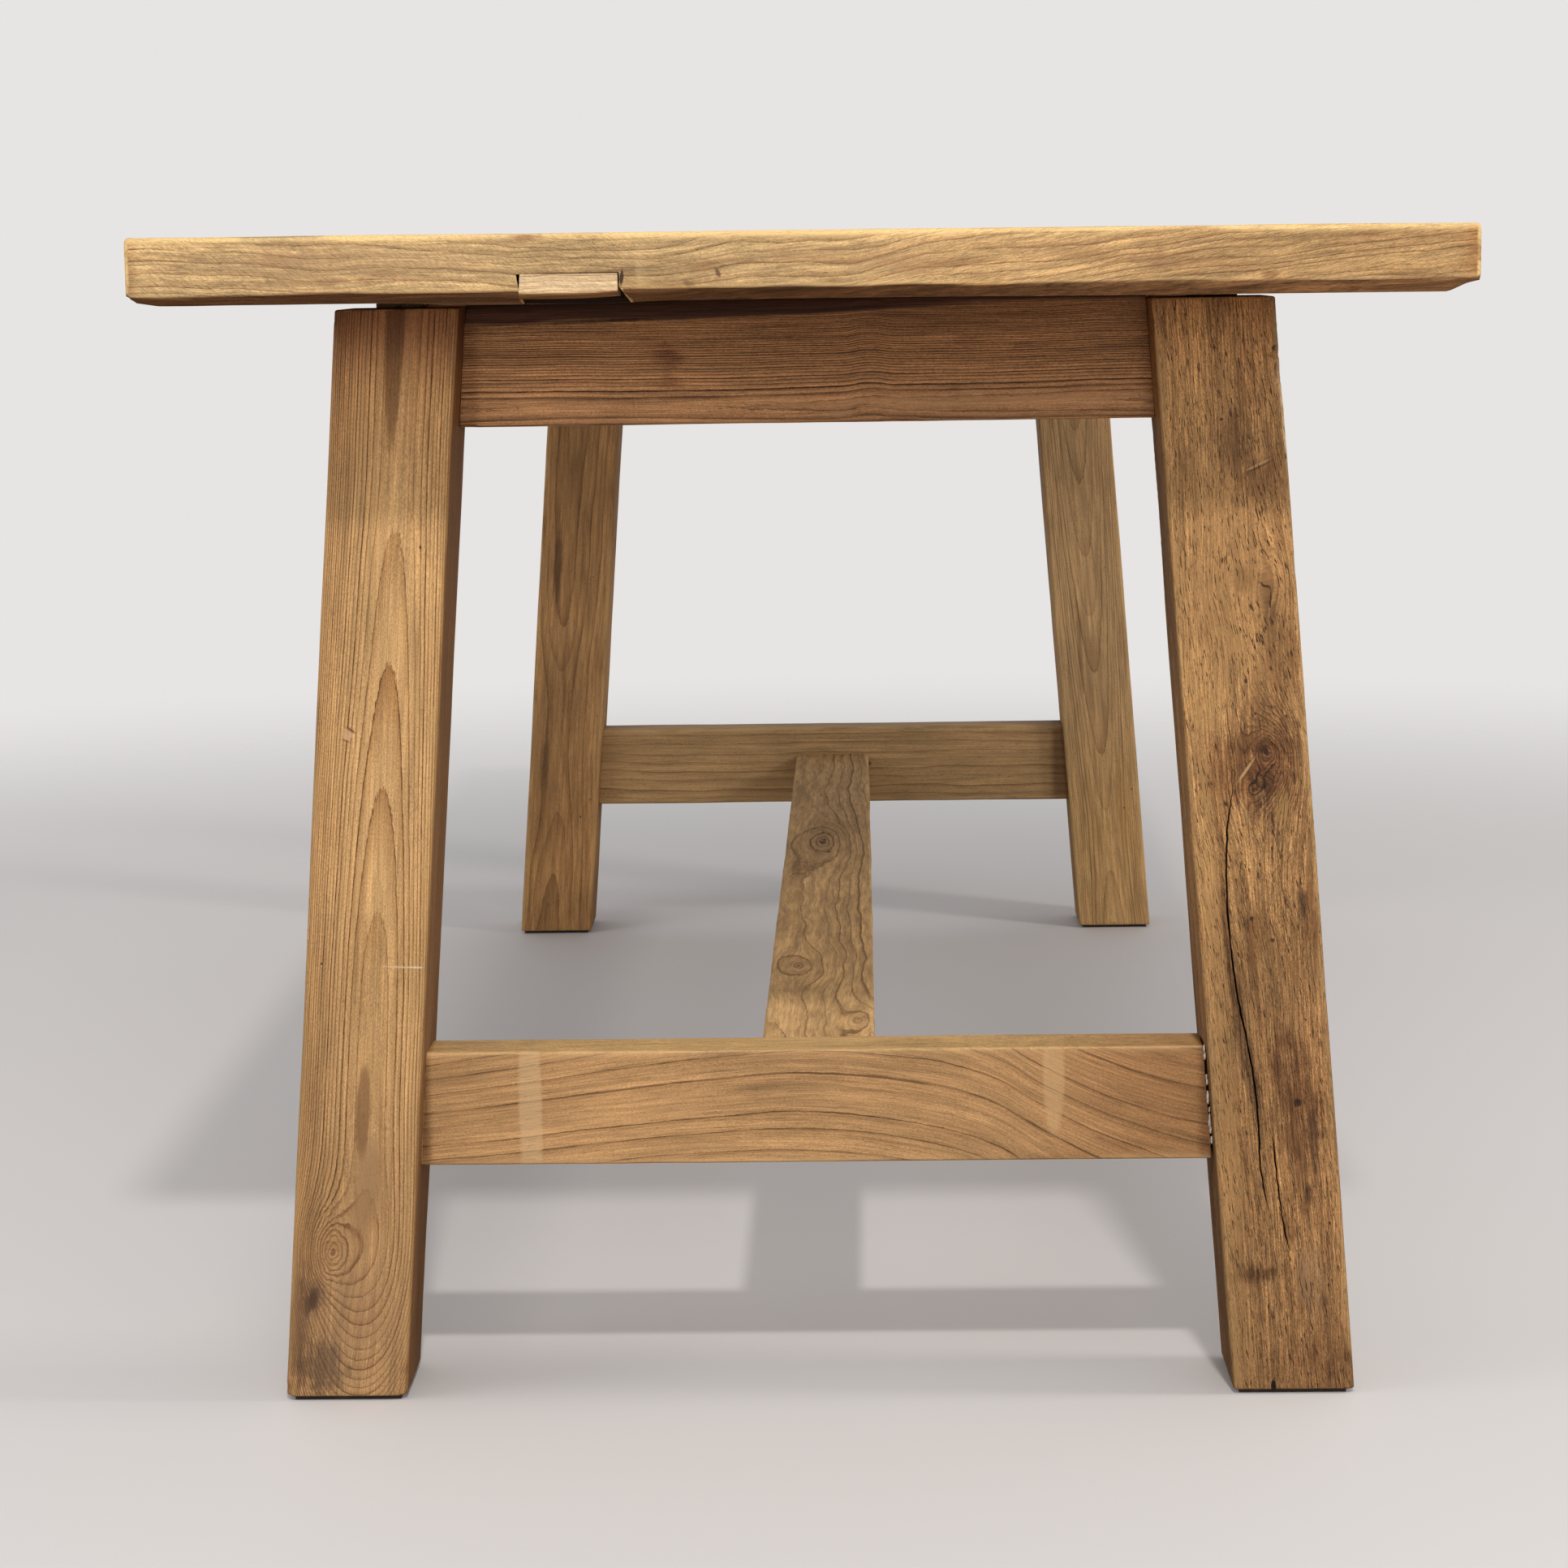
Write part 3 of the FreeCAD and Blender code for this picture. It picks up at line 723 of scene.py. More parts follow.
def smoothMesh(mesh, angle=None):
    mesh.polygons.foreach_set("use_smooth", [True] * len(mesh.polygons))
    if angle:
        mesh.set_sharp_from_angle(angle=math.radians(angle))


def shellToMesh(shell, name):
    mesh = bpy.data.meshes.new(name)
    shell.to_mesh(mesh)
    shell.free()
    return mesh


def addPiece(name, data):
    piece = bpy.data.objects.new(name, data)
    bpy.context.collection.objects.link(piece)
    return piece


def dress(piece, material, node):
    shell = bmesh.new()
    shell.from_mesh(piece.data)
    bmesh.ops.recalc_face_normals(shell, faces=shell.faces)
    shell.to_mesh(piece.data)
    shell.free()
    piece.data.materials.append(material)
    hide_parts(node)
    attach(piece, "root")
    print("built", piece.name, len(piece.data.vertices))
    return piece


# places read from the frame

def levelSpan(node, top):
    # lowest and highest X of a CAD node's end face
    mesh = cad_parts[node].data
    spots = np.empty(len(mesh.vertices) * 3)
    mesh.vertices.foreach_get("co", spots)
    spots = spots.reshape(-1, 3)
    level = spots[:, 2].max() if top else spots[:, 2].min()
    near = spots[abs(spots[:, 2] - level) < 0.0005]
    return near[:, 0].min(), near[:, 0].max(), level


def legLine(node):
    # foot middle, top middle, half width and heights of a leg
    footLow, footHigh, footZ = levelSpan(node, False)
    topLow, topHigh, topZ = levelSpan(node, True)
    low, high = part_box(node)
    return {"foot": (footLow + footHigh) / 2, "top": (topLow + topHigh) / 2, "run": (footHigh - footLow) / 2,
            "footZ": footZ, "topZ": topZ, "y": (low.y + high.y) / 2, "halfY": (high.y - low.y) / 2}


def legInnerX(line, z):
    # distance from the middle plane to the leg's inner face
    share = (z - line["footZ"]) / (line["topZ"] - line["footZ"])
    return abs(line["foot"] + (line["top"] - line["foot"]) * share) - line["run"]


def axisFrame(across, deep, along, origin):
    # grain frame: X across the timber, Y deep, Z along it
    matrix = Matrix((across, deep, along)).transposed().to_4x4()
    matrix.translation = origin
    return matrix


# legs

legShape = {
    "step": 0.0028, "columns": (29, 25), "edge": 0.0026, "wave": 0.0005, "seed": 1.0, "endRound": 0.0016,
}

nearLeftLeg = {
    "wider": 0.0016,
    "shape": {
        "seed": 2.0,
        "chips": [
            {"corner": 1, "along": 0.006, "half": 0.014, "across": 0.003, "deep": 0.002},
            {"corner": 0, "along": 0.002, "half": 0.008, "across": 0.002, "deep": 0.002},
            {"corner": 0, "along": 0.729, "half": 0.006, "across": 0.0015, "deep": 0.0015},
        ],
        "dents": [
            {"across": -0.0198, "along": 0.4548, "half": (0.0045, 0.005), "depth": 0.0011},
            {"across": -0.0266, "along": 0.0637, "half": (0.006, 0.012), "depth": 0.0009},
        ],
    },
    "wood": {
        "early": (0.62, 0.375, 0.158), "late": (0.36, 0.165, 0.05), "lateShare": 1.0, "lineShare": 1.0,
        "line": 0.0006, "lineColour": (0.1, 0.037, 0.011), "crest": 0.6195, "crestSoft": 0.01, "ring": 0.002,
        "arches": {
            "centre": 0.0052, "halfWidth": 0.0132, "power": 2.3, "length": 0.083, "start": 0.398,
            "beyond": 0.12, "foot": 0.15, "footLength": 0.0587, "stepAlong": 0.32, "stepYears": 1.8,
            "front": -0.04, "depthShare": 0.4,
        },
        "bend": 0.0034, "fray": 0.0005, "uneven": 0.0, "sharp": 2.2, "wave": (0.0014, 0.12), "streak": 0.4,
        "band": 0.3, "clump": 0.25, "clumpSize": (0.0022, 0.08), "pores": 0.25, "poreShare": 0.25,
        "cloud": 0.3, "grime": 0.25, "specks": 0.0, "relief": 0.6, "arrisColour": (0.5, 0.3, 0.12),
        "arrisShare": 0.4, "calm": (0.04, 0.21, 0.55), "grit": 0.5,
        "sides": [
            {"axis": 0, "sign": 1.0, "from": 0.0375, "to": 0.0395, "share": 1.0, "colour": (0.6, 0.52, 0.46)},
            # the top of the leg darker: painted shade under the top, with some stain
            {"axis": 2, "sign": 1.0, "from": 0.6, "to": 0.68, "share": 0.5, "colour": (0.84, 0.75, 0.7)},
            {"axis": 2, "sign": 1.0, "from": 0.668, "to": 0.73, "share": 1.0, "colour": (0.5, 0.39, 0.36)},
            {"axis": 2, "sign": -1.0, "from": -0.34, "to": -0.04, "share": 0.9, "colour": (0.66, 0.63, 0.66)},
            {"axis": 0, "sign": -1.0, "from": 0.012, "to": 0.04, "share": 0.5, "colour": (0.82, 0.72, 0.66)},
        ],
        "knots": [
            {"across": -0.0145, "along": 0.1005, "size": 0.016, "stretch": 1.7, "push": 0.019, "heart": 0.1,
             "shade": 0.3, "dark": 0.5},
        ],
        "blots": [
            {"across": -0.0268, "along": 0.066, "half": (0.0042, 0.011), "colour": (0.06, 0.03, 0.015),
             "share": 0.85, "turn": -0.2, "soft": 0.5},
            {"across": -0.0268, "along": 0.069, "half": (0.01, 0.02), "colour": (0.14, 0.08, 0.045),
             "share": 0.5, "ragged": 0.6},
            {"across": -0.019, "along": 0.02, "half": (0.022, 0.024), "colour": (0.1, 0.062, 0.038),
             "share": 0.65, "ragged": 0.7, "grit": 160.0},
            {"across": -0.035, "along": 0.05, "half": (0.009, 0.045), "colour": (0.14, 0.08, 0.045),
             "share": 0.6},
            {"across": 0.002, "along": 0.06, "half": (0.034, 0.06), "colour": (0.32, 0.2, 0.11),
             "share": 0.35, "soft": 0.9},
            {"across": 0.023, "along": 0.3003, "half": (0.0145, 0.0006), "turn": 0.03,
             "colour": (0.75, 0.56, 0.36), "share": 0.7, "ragged": 0.15},
            {"across": 0.033, "along": 0.3008, "half": (0.006, 0.0008), "turn": 0.03,
             "colour": (0.8, 0.64, 0.45), "share": 0.7, "ragged": 0.15},
            {"across": -0.0198, "along": 0.4548, "half": (0.004, 0.0045), "colour": (0.6, 0.38, 0.19),
             "share": 0.8, "ragged": 0.2, "soft": 0.3},
            {"across": -0.0175, "along": 0.4575, "half": (0.0045, 0.0012), "turn": -0.5,
             "colour": (0.12, 0.05, 0.02), "share": 0.8, "ragged": 0.2},
            {"across": -0.0205, "along": 0.4502, "half": (0.0035, 0.0008), "turn": -0.3,
             "colour": (0.16, 0.07, 0.03), "share": 0.7, "ragged": 0.2},
            {"across": 0.0227, "along": 0.5814, "half": (0.0009, 0.0012), "colour": (0.05, 0.02, 0.01),
             "share": 0.9},
            {"across": -0.0304, "along": 0.2991, "half": (0.0009, 0.0009), "colour": (0.04, 0.02, 0.01),
             "share": 0.9},
            {"across": 0.0, "along": 0.74, "half": (0.0066, 0.1), "colour": (0.6, 0.56, 0.5), "share": 0.8,
             "ragged": 0.06, "soft": 0.1, "blend": "MULTIPLY"},
            {"across": 0.0, "along": 0.74, "half": (0.006, 0.094), "colour": (0.72, 0.66, 0.6), "share": 0.9,
             "ragged": 0.06, "soft": 0.2, "blend": "MULTIPLY"},
            {"across": 0.006, "along": 0.147, "half": (0.013, 0.045), "colour": (0.42, 0.25, 0.11),
             "share": 0.85, "ragged": 0.3, "soft": 0.6},
            {"across": 0.0018, "along": 0.199, "half": (0.0054, 0.035), "colour": (0.16, 0.075, 0.028),
             "share": 0.4, "ragged": 0.1, "soft": 0.25},
            {"across": 0.0018, "along": 0.2, "half": (0.0047, 0.031), "colour": (0.27, 0.14, 0.058),
             "share": 0.65, "ragged": 0.1, "soft": 0.3},
        ],
    },
}

nearRightLeg = {
    "wider": 0.0012,
    "shape": {
        "seed": 5.0,
        "cracks": [
            {
                "column": 9, "width": 0.0017, "depth": 0.007,
                "path": [(-0.0085, 0.424), (-0.012, 0.406), (-0.0165, 0.385), (-0.0192, 0.355),
                         (-0.0203, 0.33), (-0.0198, 0.305), (-0.018, 0.272), (-0.0145, 0.247),
                         (-0.0115, 0.222), (-0.0103, 0.2), (-0.0102, 0.18), (-0.0112, 0.156), (-0.009, 0.132),
                         (-0.0055, 0.117)],
            },
            {
                "column": 15, "width": 0.0015, "depth": 0.005,
                "path": [(-0.0012, 0.178), (-0.0006, 0.15), (0.0008, 0.121), (0.004, 0.096)],
            },
        ],
        "chips": [
            {"corner": 1, "along": 0.7, "half": 0.036, "across": 0.0022, "deep": 0.004},
            {"corner": 1, "along": 0.695, "half": 0.003, "across": 0.003, "deep": 0.003},
            {"corner": 1, "along": 0.682, "half": 0.005, "across": 0.0018, "deep": 0.002},
            {"corner": 3, "along": 0.64, "half": 0.115, "across": 0.004, "deep": 0.007},
            {"corner": 1, "along": 0.559, "half": 0.008, "across": 0.001, "deep": 0.002},
        ],
        "dents": [
            {"across": 0.0158, "along": 0.568, "half": (0.004, 0.004), "depth": 0.0006},
            {"across": 0.0135, "along": 0.436, "half": (0.005, 0.007), "depth": 0.0008},
            {"across": 0.0168, "along": 0.1982, "half": (0.003, 0.003), "depth": 0.0012},
        ],
    },
    "wood": {
        "early": (0.47, 0.26, 0.1), "late": (0.19, 0.085, 0.028), "lateShare": 0.45, "lineShare": 0.3,
        "line": 0.0004, "lineColour": (0.07, 0.032, 0.013), "pith": (-0.07, 0.05), "lean": (0.02, 0.03),
        "crest": 2.0, "ring": 0.0017, "bend": 0.012, "fray": 0.0006, "uneven": 1.6, "sharp": 1.4,
        "wave": (0.006, 0.1), "streak": 0.75, "band": 0.4, "clump": 0.5, "grit": 0.7,
        "clumpSize": (0.0011, 0.012), "pores": 1.0, "poreShare": 0.48, "poreLength": 0.008, "poreSlant": 0.1,
        "cloud": 0.65, "grime": 0.8, "specks": 0.0, "rough": 0.65, "arrisColour": (0.5, 0.31, 0.13),
        "arrisShare": 0.45,
        "sides": [
            {"axis": 0, "sign": -1.0, "from": 0.0375, "to": 0.0395, "share": 1.0,
             "colour": (0.78, 0.76, 0.72)},
            # the top of the leg darker: painted shade under the top, with some stain
            {"axis": 2, "sign": 1.0, "from": 0.65, "to": 0.74, "share": 0.6, "colour": (0.8, 0.7, 0.64)},
            {"axis": 2, "sign": -1.0, "from": -0.42, "to": -0.2, "share": 0.8, "colour": (0.82, 0.78, 0.78)},
            {"axis": 2, "sign": -1.0, "from": -0.16, "to": -0.06, "share": 0.8, "colour": (0.76, 0.76, 0.78)},
            {"axis": 0, "sign": 1.0, "from": 0.0, "to": 0.03, "share": 0.35, "colour": (0.72, 0.66, 0.64)},
        ],
        "knots": [
            {"across": 0.0128, "along": 0.437, "size": 0.017, "stretch": 1.5, "push": 0.019, "heart": 0.16,
             "shade": 0.15, "dark": 0.9, "lines": 2.2},
            {"across": 0.0065, "along": 0.411, "size": 0.009, "stretch": 1.3, "push": 0.005, "heart": 0.02,
             "shade": 0.0, "dark": 0.0, "lines": 0.7},
            {"across": 0.0205, "along": 0.5465, "size": 0.012, "stretch": 2.2, "push": 0.0, "heart": 0.05,
             "shade": 0.25, "dark": 0.0},
            {"across": 0.0052, "along": 0.552, "size": 0.007, "stretch": 1.6, "push": 0.0, "heart": 0.05,
             "shade": 0.35, "dark": 0.0},
        ],
        "blots": [
            {"across": 0.012, "along": 0.43, "half": (0.026, 0.05), "colour": (0.42, 0.33, 0.31),
             "share": 0.95, "ragged": 0.6, "soft": 0.8, "blend": "MULTIPLY"},
            {"across": 0.011, "along": 0.4385, "half": (0.0035, 0.004), "colour": (0.05, 0.024, 0.013),
             "share": 0.85, "ragged": 0.7},
            {"across": 0.022, "along": 0.51, "half": (0.007, 0.06), "colour": (0.5, 0.44, 0.42), "share": 0.8,
             "turn": 0.04, "ragged": 0.5, "blend": "MULTIPLY"},
            {"across": 0.006, "along": 0.64, "half": (0.013, 0.026), "colour": (0.5, 0.45, 0.44),
             "share": 0.8, "ragged": 0.6, "blend": "MULTIPLY"},
            {"across": 0.0055, "along": 0.5515, "half": (0.007, 0.008), "colour": (0.35, 0.3, 0.28),
             "share": 0.85, "ragged": 0.8, "blend": "MULTIPLY"},
            {"across": 0.018, "along": 0.615, "half": (0.014, 0.016), "colour": (0.5, 0.44, 0.42),
             "share": 0.8, "ragged": 0.6, "blend": "MULTIPLY"},
            {"across": -0.01, "along": 0.425, "half": (0.032, 0.036), "colour": (0.55, 0.46, 0.43),
             "share": 0.9, "ragged": 0.7, "soft": 0.9, "blend": "MULTIPLY"},
            {"across": -0.02, "along": 0.468, "half": (0.012, 0.018), "colour": (0.5, 0.29, 0.11),
             "share": 0.4, "ragged": 0.5, "soft": 0.8},
            {"across": -0.004, "along": 0.55, "half": (0.042, 0.1), "colour": (0.56, 0.31, 0.118),
             "share": 0.4, "ragged": 0.4, "soft": 0.9},
            {"across": 0.021, "along": 0.397, "half": (0.006, 0.014), "colour": (0.5, 0.3, 0.1), "share": 0.5,
             "ragged": 0.5, "soft": 0.8},
            {"across": 0.0378, "along": 0.699, "half": (0.0028, 0.0026), "colour": (0.03, 0.014, 0.008),
             "share": 1.0, "ragged": 0.5, "soft": 0.3, "grit": 300.0},
            {"across": 0.0382, "along": 0.685, "half": (0.0022, 0.006), "colour": (0.04, 0.02, 0.01),
             "share": 1.0, "ragged": 0.5, "soft": 0.3, "grit": 300.0},
            {"across": 0.0396, "along": 0.665, "half": (0.0016, 0.05), "colour": (0.8, 0.6, 0.36),
             "share": 0.9, "ragged": 0.3},
            {"across": -0.023, "along": 0.083, "half": (0.016, 0.008), "colour": (0.35, 0.3, 0.28),
             "share": 0.9, "ragged": 0.8, "blend": "MULTIPLY"},
            {"across": 0.02, "along": 0.135, "half": (0.003, 0.009), "colour": (0.07, 0.035, 0.017),
             "share": 0.7, "ragged": 0.5},
            {"across": 0.024, "along": 0.06, "half": (0.004, 0.007), "colour": (0.08, 0.038, 0.018),
             "share": 0.6, "ragged": 0.7},
            {"across": 0.026, "along": 0.175, "half": (0.004, 0.022), "colour": (0.08, 0.04, 0.02),
             "share": 0.6, "ragged": 0.7},
            {"across": 0.008, "along": 0.31, "half": (0.0016, 0.002), "colour": (0.04, 0.02, 0.01),
             "share": 0.9},
            {"across": -0.0045, "along": 0.326, "half": (0.0016, 0.002), "colour": (0.04, 0.02, 0.01),
             "share": 0.9},
            {"across": -0.029, "along": 0.303, "half": (0.003, 0.002), "colour": (0.07, 0.035, 0.016),
             "share": 0.8, "turn": 0.6},
            {"across": -0.03, "along": 0.24, "half": (0.007, 0.3), "colour": (0.5, 0.29, 0.11), "share": 0.5,
             "ragged": 0.5},
            {"across": -0.0145, "along": 0.235, "half": (0.0055, 0.07), "colour": (0.35, 0.33, 0.33),
             "share": 0.9, "ragged": 0.5, "turn": 0.1, "blend": "MULTIPLY"},
            {"across": -0.0215, "along": 0.33, "half": (0.0035, 0.07), "colour": (0.4, 0.35, 0.32),
             "share": 0.85, "ragged": 0.5, "blend": "MULTIPLY"},
            {"across": 0.014, "along": 0.2, "half": (0.02, 0.05), "colour": (0.5, 0.43, 0.42), "share": 0.9,
             "ragged": 0.8, "blend": "MULTIPLY"},
            {"across": 0.01, "along": 0.012, "half": (0.035, 0.03), "colour": (0.7, 0.66, 0.66), "share": 0.9,
             "ragged": 0.7, "soft": 0.9, "blend": "MULTIPLY"},
            {"across": 0.017, "along": 0.0777, "half": (0.011, 0.026), "colour": (0.45, 0.28, 0.14),
             "share": 0.5, "ragged": 0.6},
            {"across": 0.0295, "along": 0.333, "half": (0.0035, 0.012), "colour": (0.08, 0.04, 0.02),
             "share": 0.7, "ragged": 0.4},
            {"across": 0.0215, "along": 0.625, "half": (0.0105, 0.0009), "turn": 0.36,
             "colour": (0.55, 0.34, 0.16), "share": 0.85, "ragged": 0.15},
            {"across": 0.0213, "along": 0.6232, "half": (0.0105, 0.0007), "turn": 0.36,
             "colour": (0.08, 0.04, 0.02), "share": 0.7, "ragged": 0.15},
            {"across": -0.001, "along": 0.4255, "half": (0.0011, 0.0115), "turn": -0.67,
             "colour": (0.5, 0.31, 0.14), "share": 0.85, "ragged": 0.15},
            {"across": 0.0168, "along": 0.1982, "half": (0.003, 0.0032), "colour": (0.03, 0.015, 0.008),
             "share": 0.85, "ragged": 0.4},
            {"across": 0.003, "along": 0.4842, "half": (0.0014, 0.0018), "colour": (0.03, 0.014, 0.007),
             "share": 0.9},
            {"across": -0.0004, "along": 0.6562, "half": (0.0014, 0.0014), "colour": (0.05, 0.025, 0.012),
             "share": 0.9},
            {"across": -0.0131, "along": 0.003, "half": (0.0018, 0.005), "colour": (0.01, 0.006, 0.004),
             "share": 1.0, "ragged": 0.1, "soft": 0.2},
        ],
    },
}

farLeftLeg = {
    "wider": 0.0, "shape": {"seed": 8.0},
    "wood": {
        "early": (0.47, 0.258, 0.1), "late": (0.22, 0.108, 0.038), "streak": 0.3, "band": 0.3,
        "pith": (-0.01, 0.01), "lean": (0.0, 0.02), "crest": 0.2, "ring": 0.003, "bend": 0.01,
        "lineShare": 0.3, "clump": 0.4, "clumpSize": (0.004, 0.05), "pores": 0.4, "cloud": 0.5, "grime": 0.4,
        "sides": [
            {"axis": 2, "sign": -1.0, "from": -0.35, "to": -0.1, "share": 1.0, "colour": (0.85, 0.81, 0.76)},
        ],
        "blots": [
            {"across": -0.02, "along": 0.42, "half": (0.006, 0.05), "colour": (0.07, 0.035, 0.018),
             "share": 0.6},
            {"across": -0.022, "along": 0.2, "half": (0.006, 0.04), "colour": (0.07, 0.035, 0.018),
             "share": 0.5},
        ],
    },
}

farRightLeg = {
    "wider": 0.0, "shape": {"seed": 11.0},
    "wood": {
        "early": (0.54, 0.34, 0.155), "late": (0.28, 0.155, 0.062), "streak": 0.3, "band": 0.25,
        "pith": (0.0, -0.012), "crest": 0.1, "ring": 0.0024,
        "arches": {
            "centre": 0.0, "halfWidth": 0.014, "power": 2.3, "length": 0.07, "start": 0.3, "front": -0.04,
            "depthShare": 0.5,
        },
        "line": 0.0006, "bend": 0.003, "sharp": 2.6, "lineShare": 0.5, "pores": 0.3, "cloud": 0.4,
        "grime": 0.3,
        "sides": [
            {"axis": 2, "sign": -1.0, "from": -0.35, "to": -0.1, "share": 1.0, "colour": (0.92, 0.87, 0.76)},
        ],
        "blots": [
            {"across": -0.014, "along": 0.337, "half": (0.003, 0.06), "colour": (0.13, 0.065, 0.03),
             "share": 0.5},
            {"across": 0.021, "along": 0.132, "half": (0.01, 0.05), "colour": (0.5, 0.28, 0.1), "share": 0.4},
        ],
    },
}


def makeLeg(node, plan, woodName):
    line = legLine(node)
    height = line["topZ"] - line["footZ"]
    lean = math.atan2(line["top"] - line["foot"], height)
    halfAcross = line["run"] * math.cos(lean)
    side = 1 if line["foot"] > 0 else -1

    def place(local):
        u, v, w = local[:, 0], local[:, 1], local[:, 2]
        outward = np.clip(u * side / halfAcross, 0, 1) * plan["wider"] * (1.2 - w / height)
        middle = line["foot"] + (line["top"] - line["foot"]) * w / height
        x = middle + u / math.cos(lean) + side * outward
        return np.column_stack((x, line["y"] + v, line["footZ"] + w))

    shape = {**legShape, **plan["shape"]}
    piece = timber(node + "_timber", (halfAcross, line["halfY"]), height, shape, place)
    upright = Vector((math.sin(lean), 0, math.cos(lean)))
    foot = Vector((line["foot"], line["y"], line["footZ"]))
    grainFrame = axisFrame(back.cross(upright), back, upright, foot)
    material = woodMaterial(woodName, grainFrame, {"frontDepth": line["halfY"] - faceBand, **plan["wood"]})
    return dress(piece, material, node)


makeLeg("near_left_leg", nearLeftLeg, "pine of the near left leg")
makeLeg("near_right_leg", nearRightLeg, "elm of the near right leg")
makeLeg("far_left_leg", farLeftLeg, "pine of the far left leg")
makeLeg("far_right_leg", farRightLeg, "pine of the far right leg")
print("legs done")


# rails

nearLine = legLine("near_right_leg")
farLine = legLine("far_right_leg")


def makeRail(node, plan, woodName, line, rightGap=0.0):
    # a rail along X between two legs: u is up, v runs away from the near end, w runs along X
    low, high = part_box(node)
    halfUp, halfDeep = (high.z - low.z) / 2, (high.y - low.y) / 2
    middleZ, middleY = (high.z + low.z) / 2, (high.y + low.y) / 2
    reach = legInnerX(line, middleZ)

    def place(local):
        z = middleZ + local[:, 0]
        inner = np.array([legInnerX(line, value) for value in z])
        share = local[:, 2] / (2 * reach)
        x = -inner + share * (2 * inner - rightGap)
        return np.column_stack((x, middleY + local[:, 1], z))

    piece = timber(node + "_timber", (halfUp, halfDeep), 2 * reach, plan["shape"], place)
    grainFrame = axisFrame(up, front, right, Vector((0, middleY, middleZ)))
    material = woodMaterial(woodName, grainFrame, {
        "frontSide": 1.0, "frontDepth": halfDeep - faceBand, **plan["wood"]})
    return dress(piece, material, node)


nearLowerRail = {
    "shape": {
        "step": 0.0028, "columns": (27, 15), "edge": 0.0018, "wave": 0.0004, "seed": 14.0, "endRound": 0.0008,
    },
    "wood": {
        "early": (0.46, 0.262, 0.112), "late": (0.3, 0.148, 0.055), "lateShare": 0.5, "lineShare": 1.0,
        "line": 0.0009, "lineColour": (0.06, 0.024, 0.009), "pith": (-0.5, 0.0), "lean": (0.0, 0.0),
        "ring": 0.0165, "bend": 0.004, "fray": 0.0014, "uneven": 1.1, "sharp": 5.0,
        "sweep": [(-0.27, -0.023), (-0.2, -0.016), (-0.134, -0.008), (-0.068, -0.002), (-0.01, 0.0),
                  (0.05, -0.005), (0.107, -0.018), (0.156, -0.045), (0.2, -0.068), (0.235, -0.082),
                  (0.27, -0.093)],
        "spread": 0.7, "wave": (0.0015, 0.07), "streak": 0.4, "band": 0.3, "clump": 0.3,
        "clumpSize": (0.0015, 0.03), "pores": 0.25, "poreShare": 0.3, "poreLength": 0.009, "cloud": 0.35,
        "grime": 0.15, "specks": 0.0, "grit": 0.45, "arrisColour": (0.6, 0.37, 0.17), "arrisShare": 0.6,
        "sides": [
            # darker towards both legs: painted shade; at the very ends, dirt and painted shade in the joints
            {"axis": 2, "sign": 1.0, "from": 0.1, "to": 0.24, "share": 1.0, "colour": (0.72, 0.65, 0.6)},
            {"axis": 2, "sign": -1.0, "from": 0.1, "to": 0.25, "share": 0.6, "colour": (0.76, 0.75, 0.74)},
            {"axis": 2, "sign": 1.0, "from": 0.256, "to": 0.262, "share": 0.7, "colour": (0.5, 0.42, 0.36)},
            {"axis": 2, "sign": -1.0, "from": 0.258, "to": 0.265, "share": 0.9, "colour": (0.35, 0.28, 0.22)},
            # the top face lighter: painted light from above
            {"axis": 0, "sign": 1.0, "from": 0.0372, "to": 0.0388, "share": 0.9, "colour": (0.66, 0.41, 0.16),
             "under": True},
        ],
        "blots": [
            {"across": 0.0, "along": -0.193, "half": (0.08, 0.0085), "colour": (0.7, 0.48, 0.26),
             "share": 0.5, "ragged": 0.03, "soft": 0.25},
            {"across": 0.02, "along": 0.161, "half": (0.045, 0.008), "colour": (0.68, 0.45, 0.22),
             "share": 0.5, "ragged": 0.06, "soft": 0.3},
        ],
    },
}

farLowerRail = {
    "shape": {
        "step": 0.004, "columns": (21, 11), "edge": 0.0025, "wave": 0.0006, "seed": 17.0, "endRound": 0.0008,
    },
    "wood": {
        "early": (0.38, 0.232, 0.1), "late": (0.21, 0.115, 0.044), "pith": (-0.2, 0.02), "ring": 0.01,
        "line": 0.0008, "bend": 0.01, "sharp": 5.0, "streak": 0.25, "band": 0.25, "clump": 0.25,
        "clumpSize": (0.004, 0.06), "cloud": 0.35, "grime": 0.2,
        "sides": [
            # a dark strip at the right end: painted shadow of the right leg
            {"axis": 2, "sign": 1.0, "from": 0.246, "to": 0.256, "share": 0.8, "colour": (0.4, 0.34, 0.3)},
        ],
        "blots": [
            {"across": 0.001, "along": 0.041, "half": (0.004, 0.004), "colour": (0.03, 0.015, 0.01),
             "share": 0.9},
        ],
    },
}

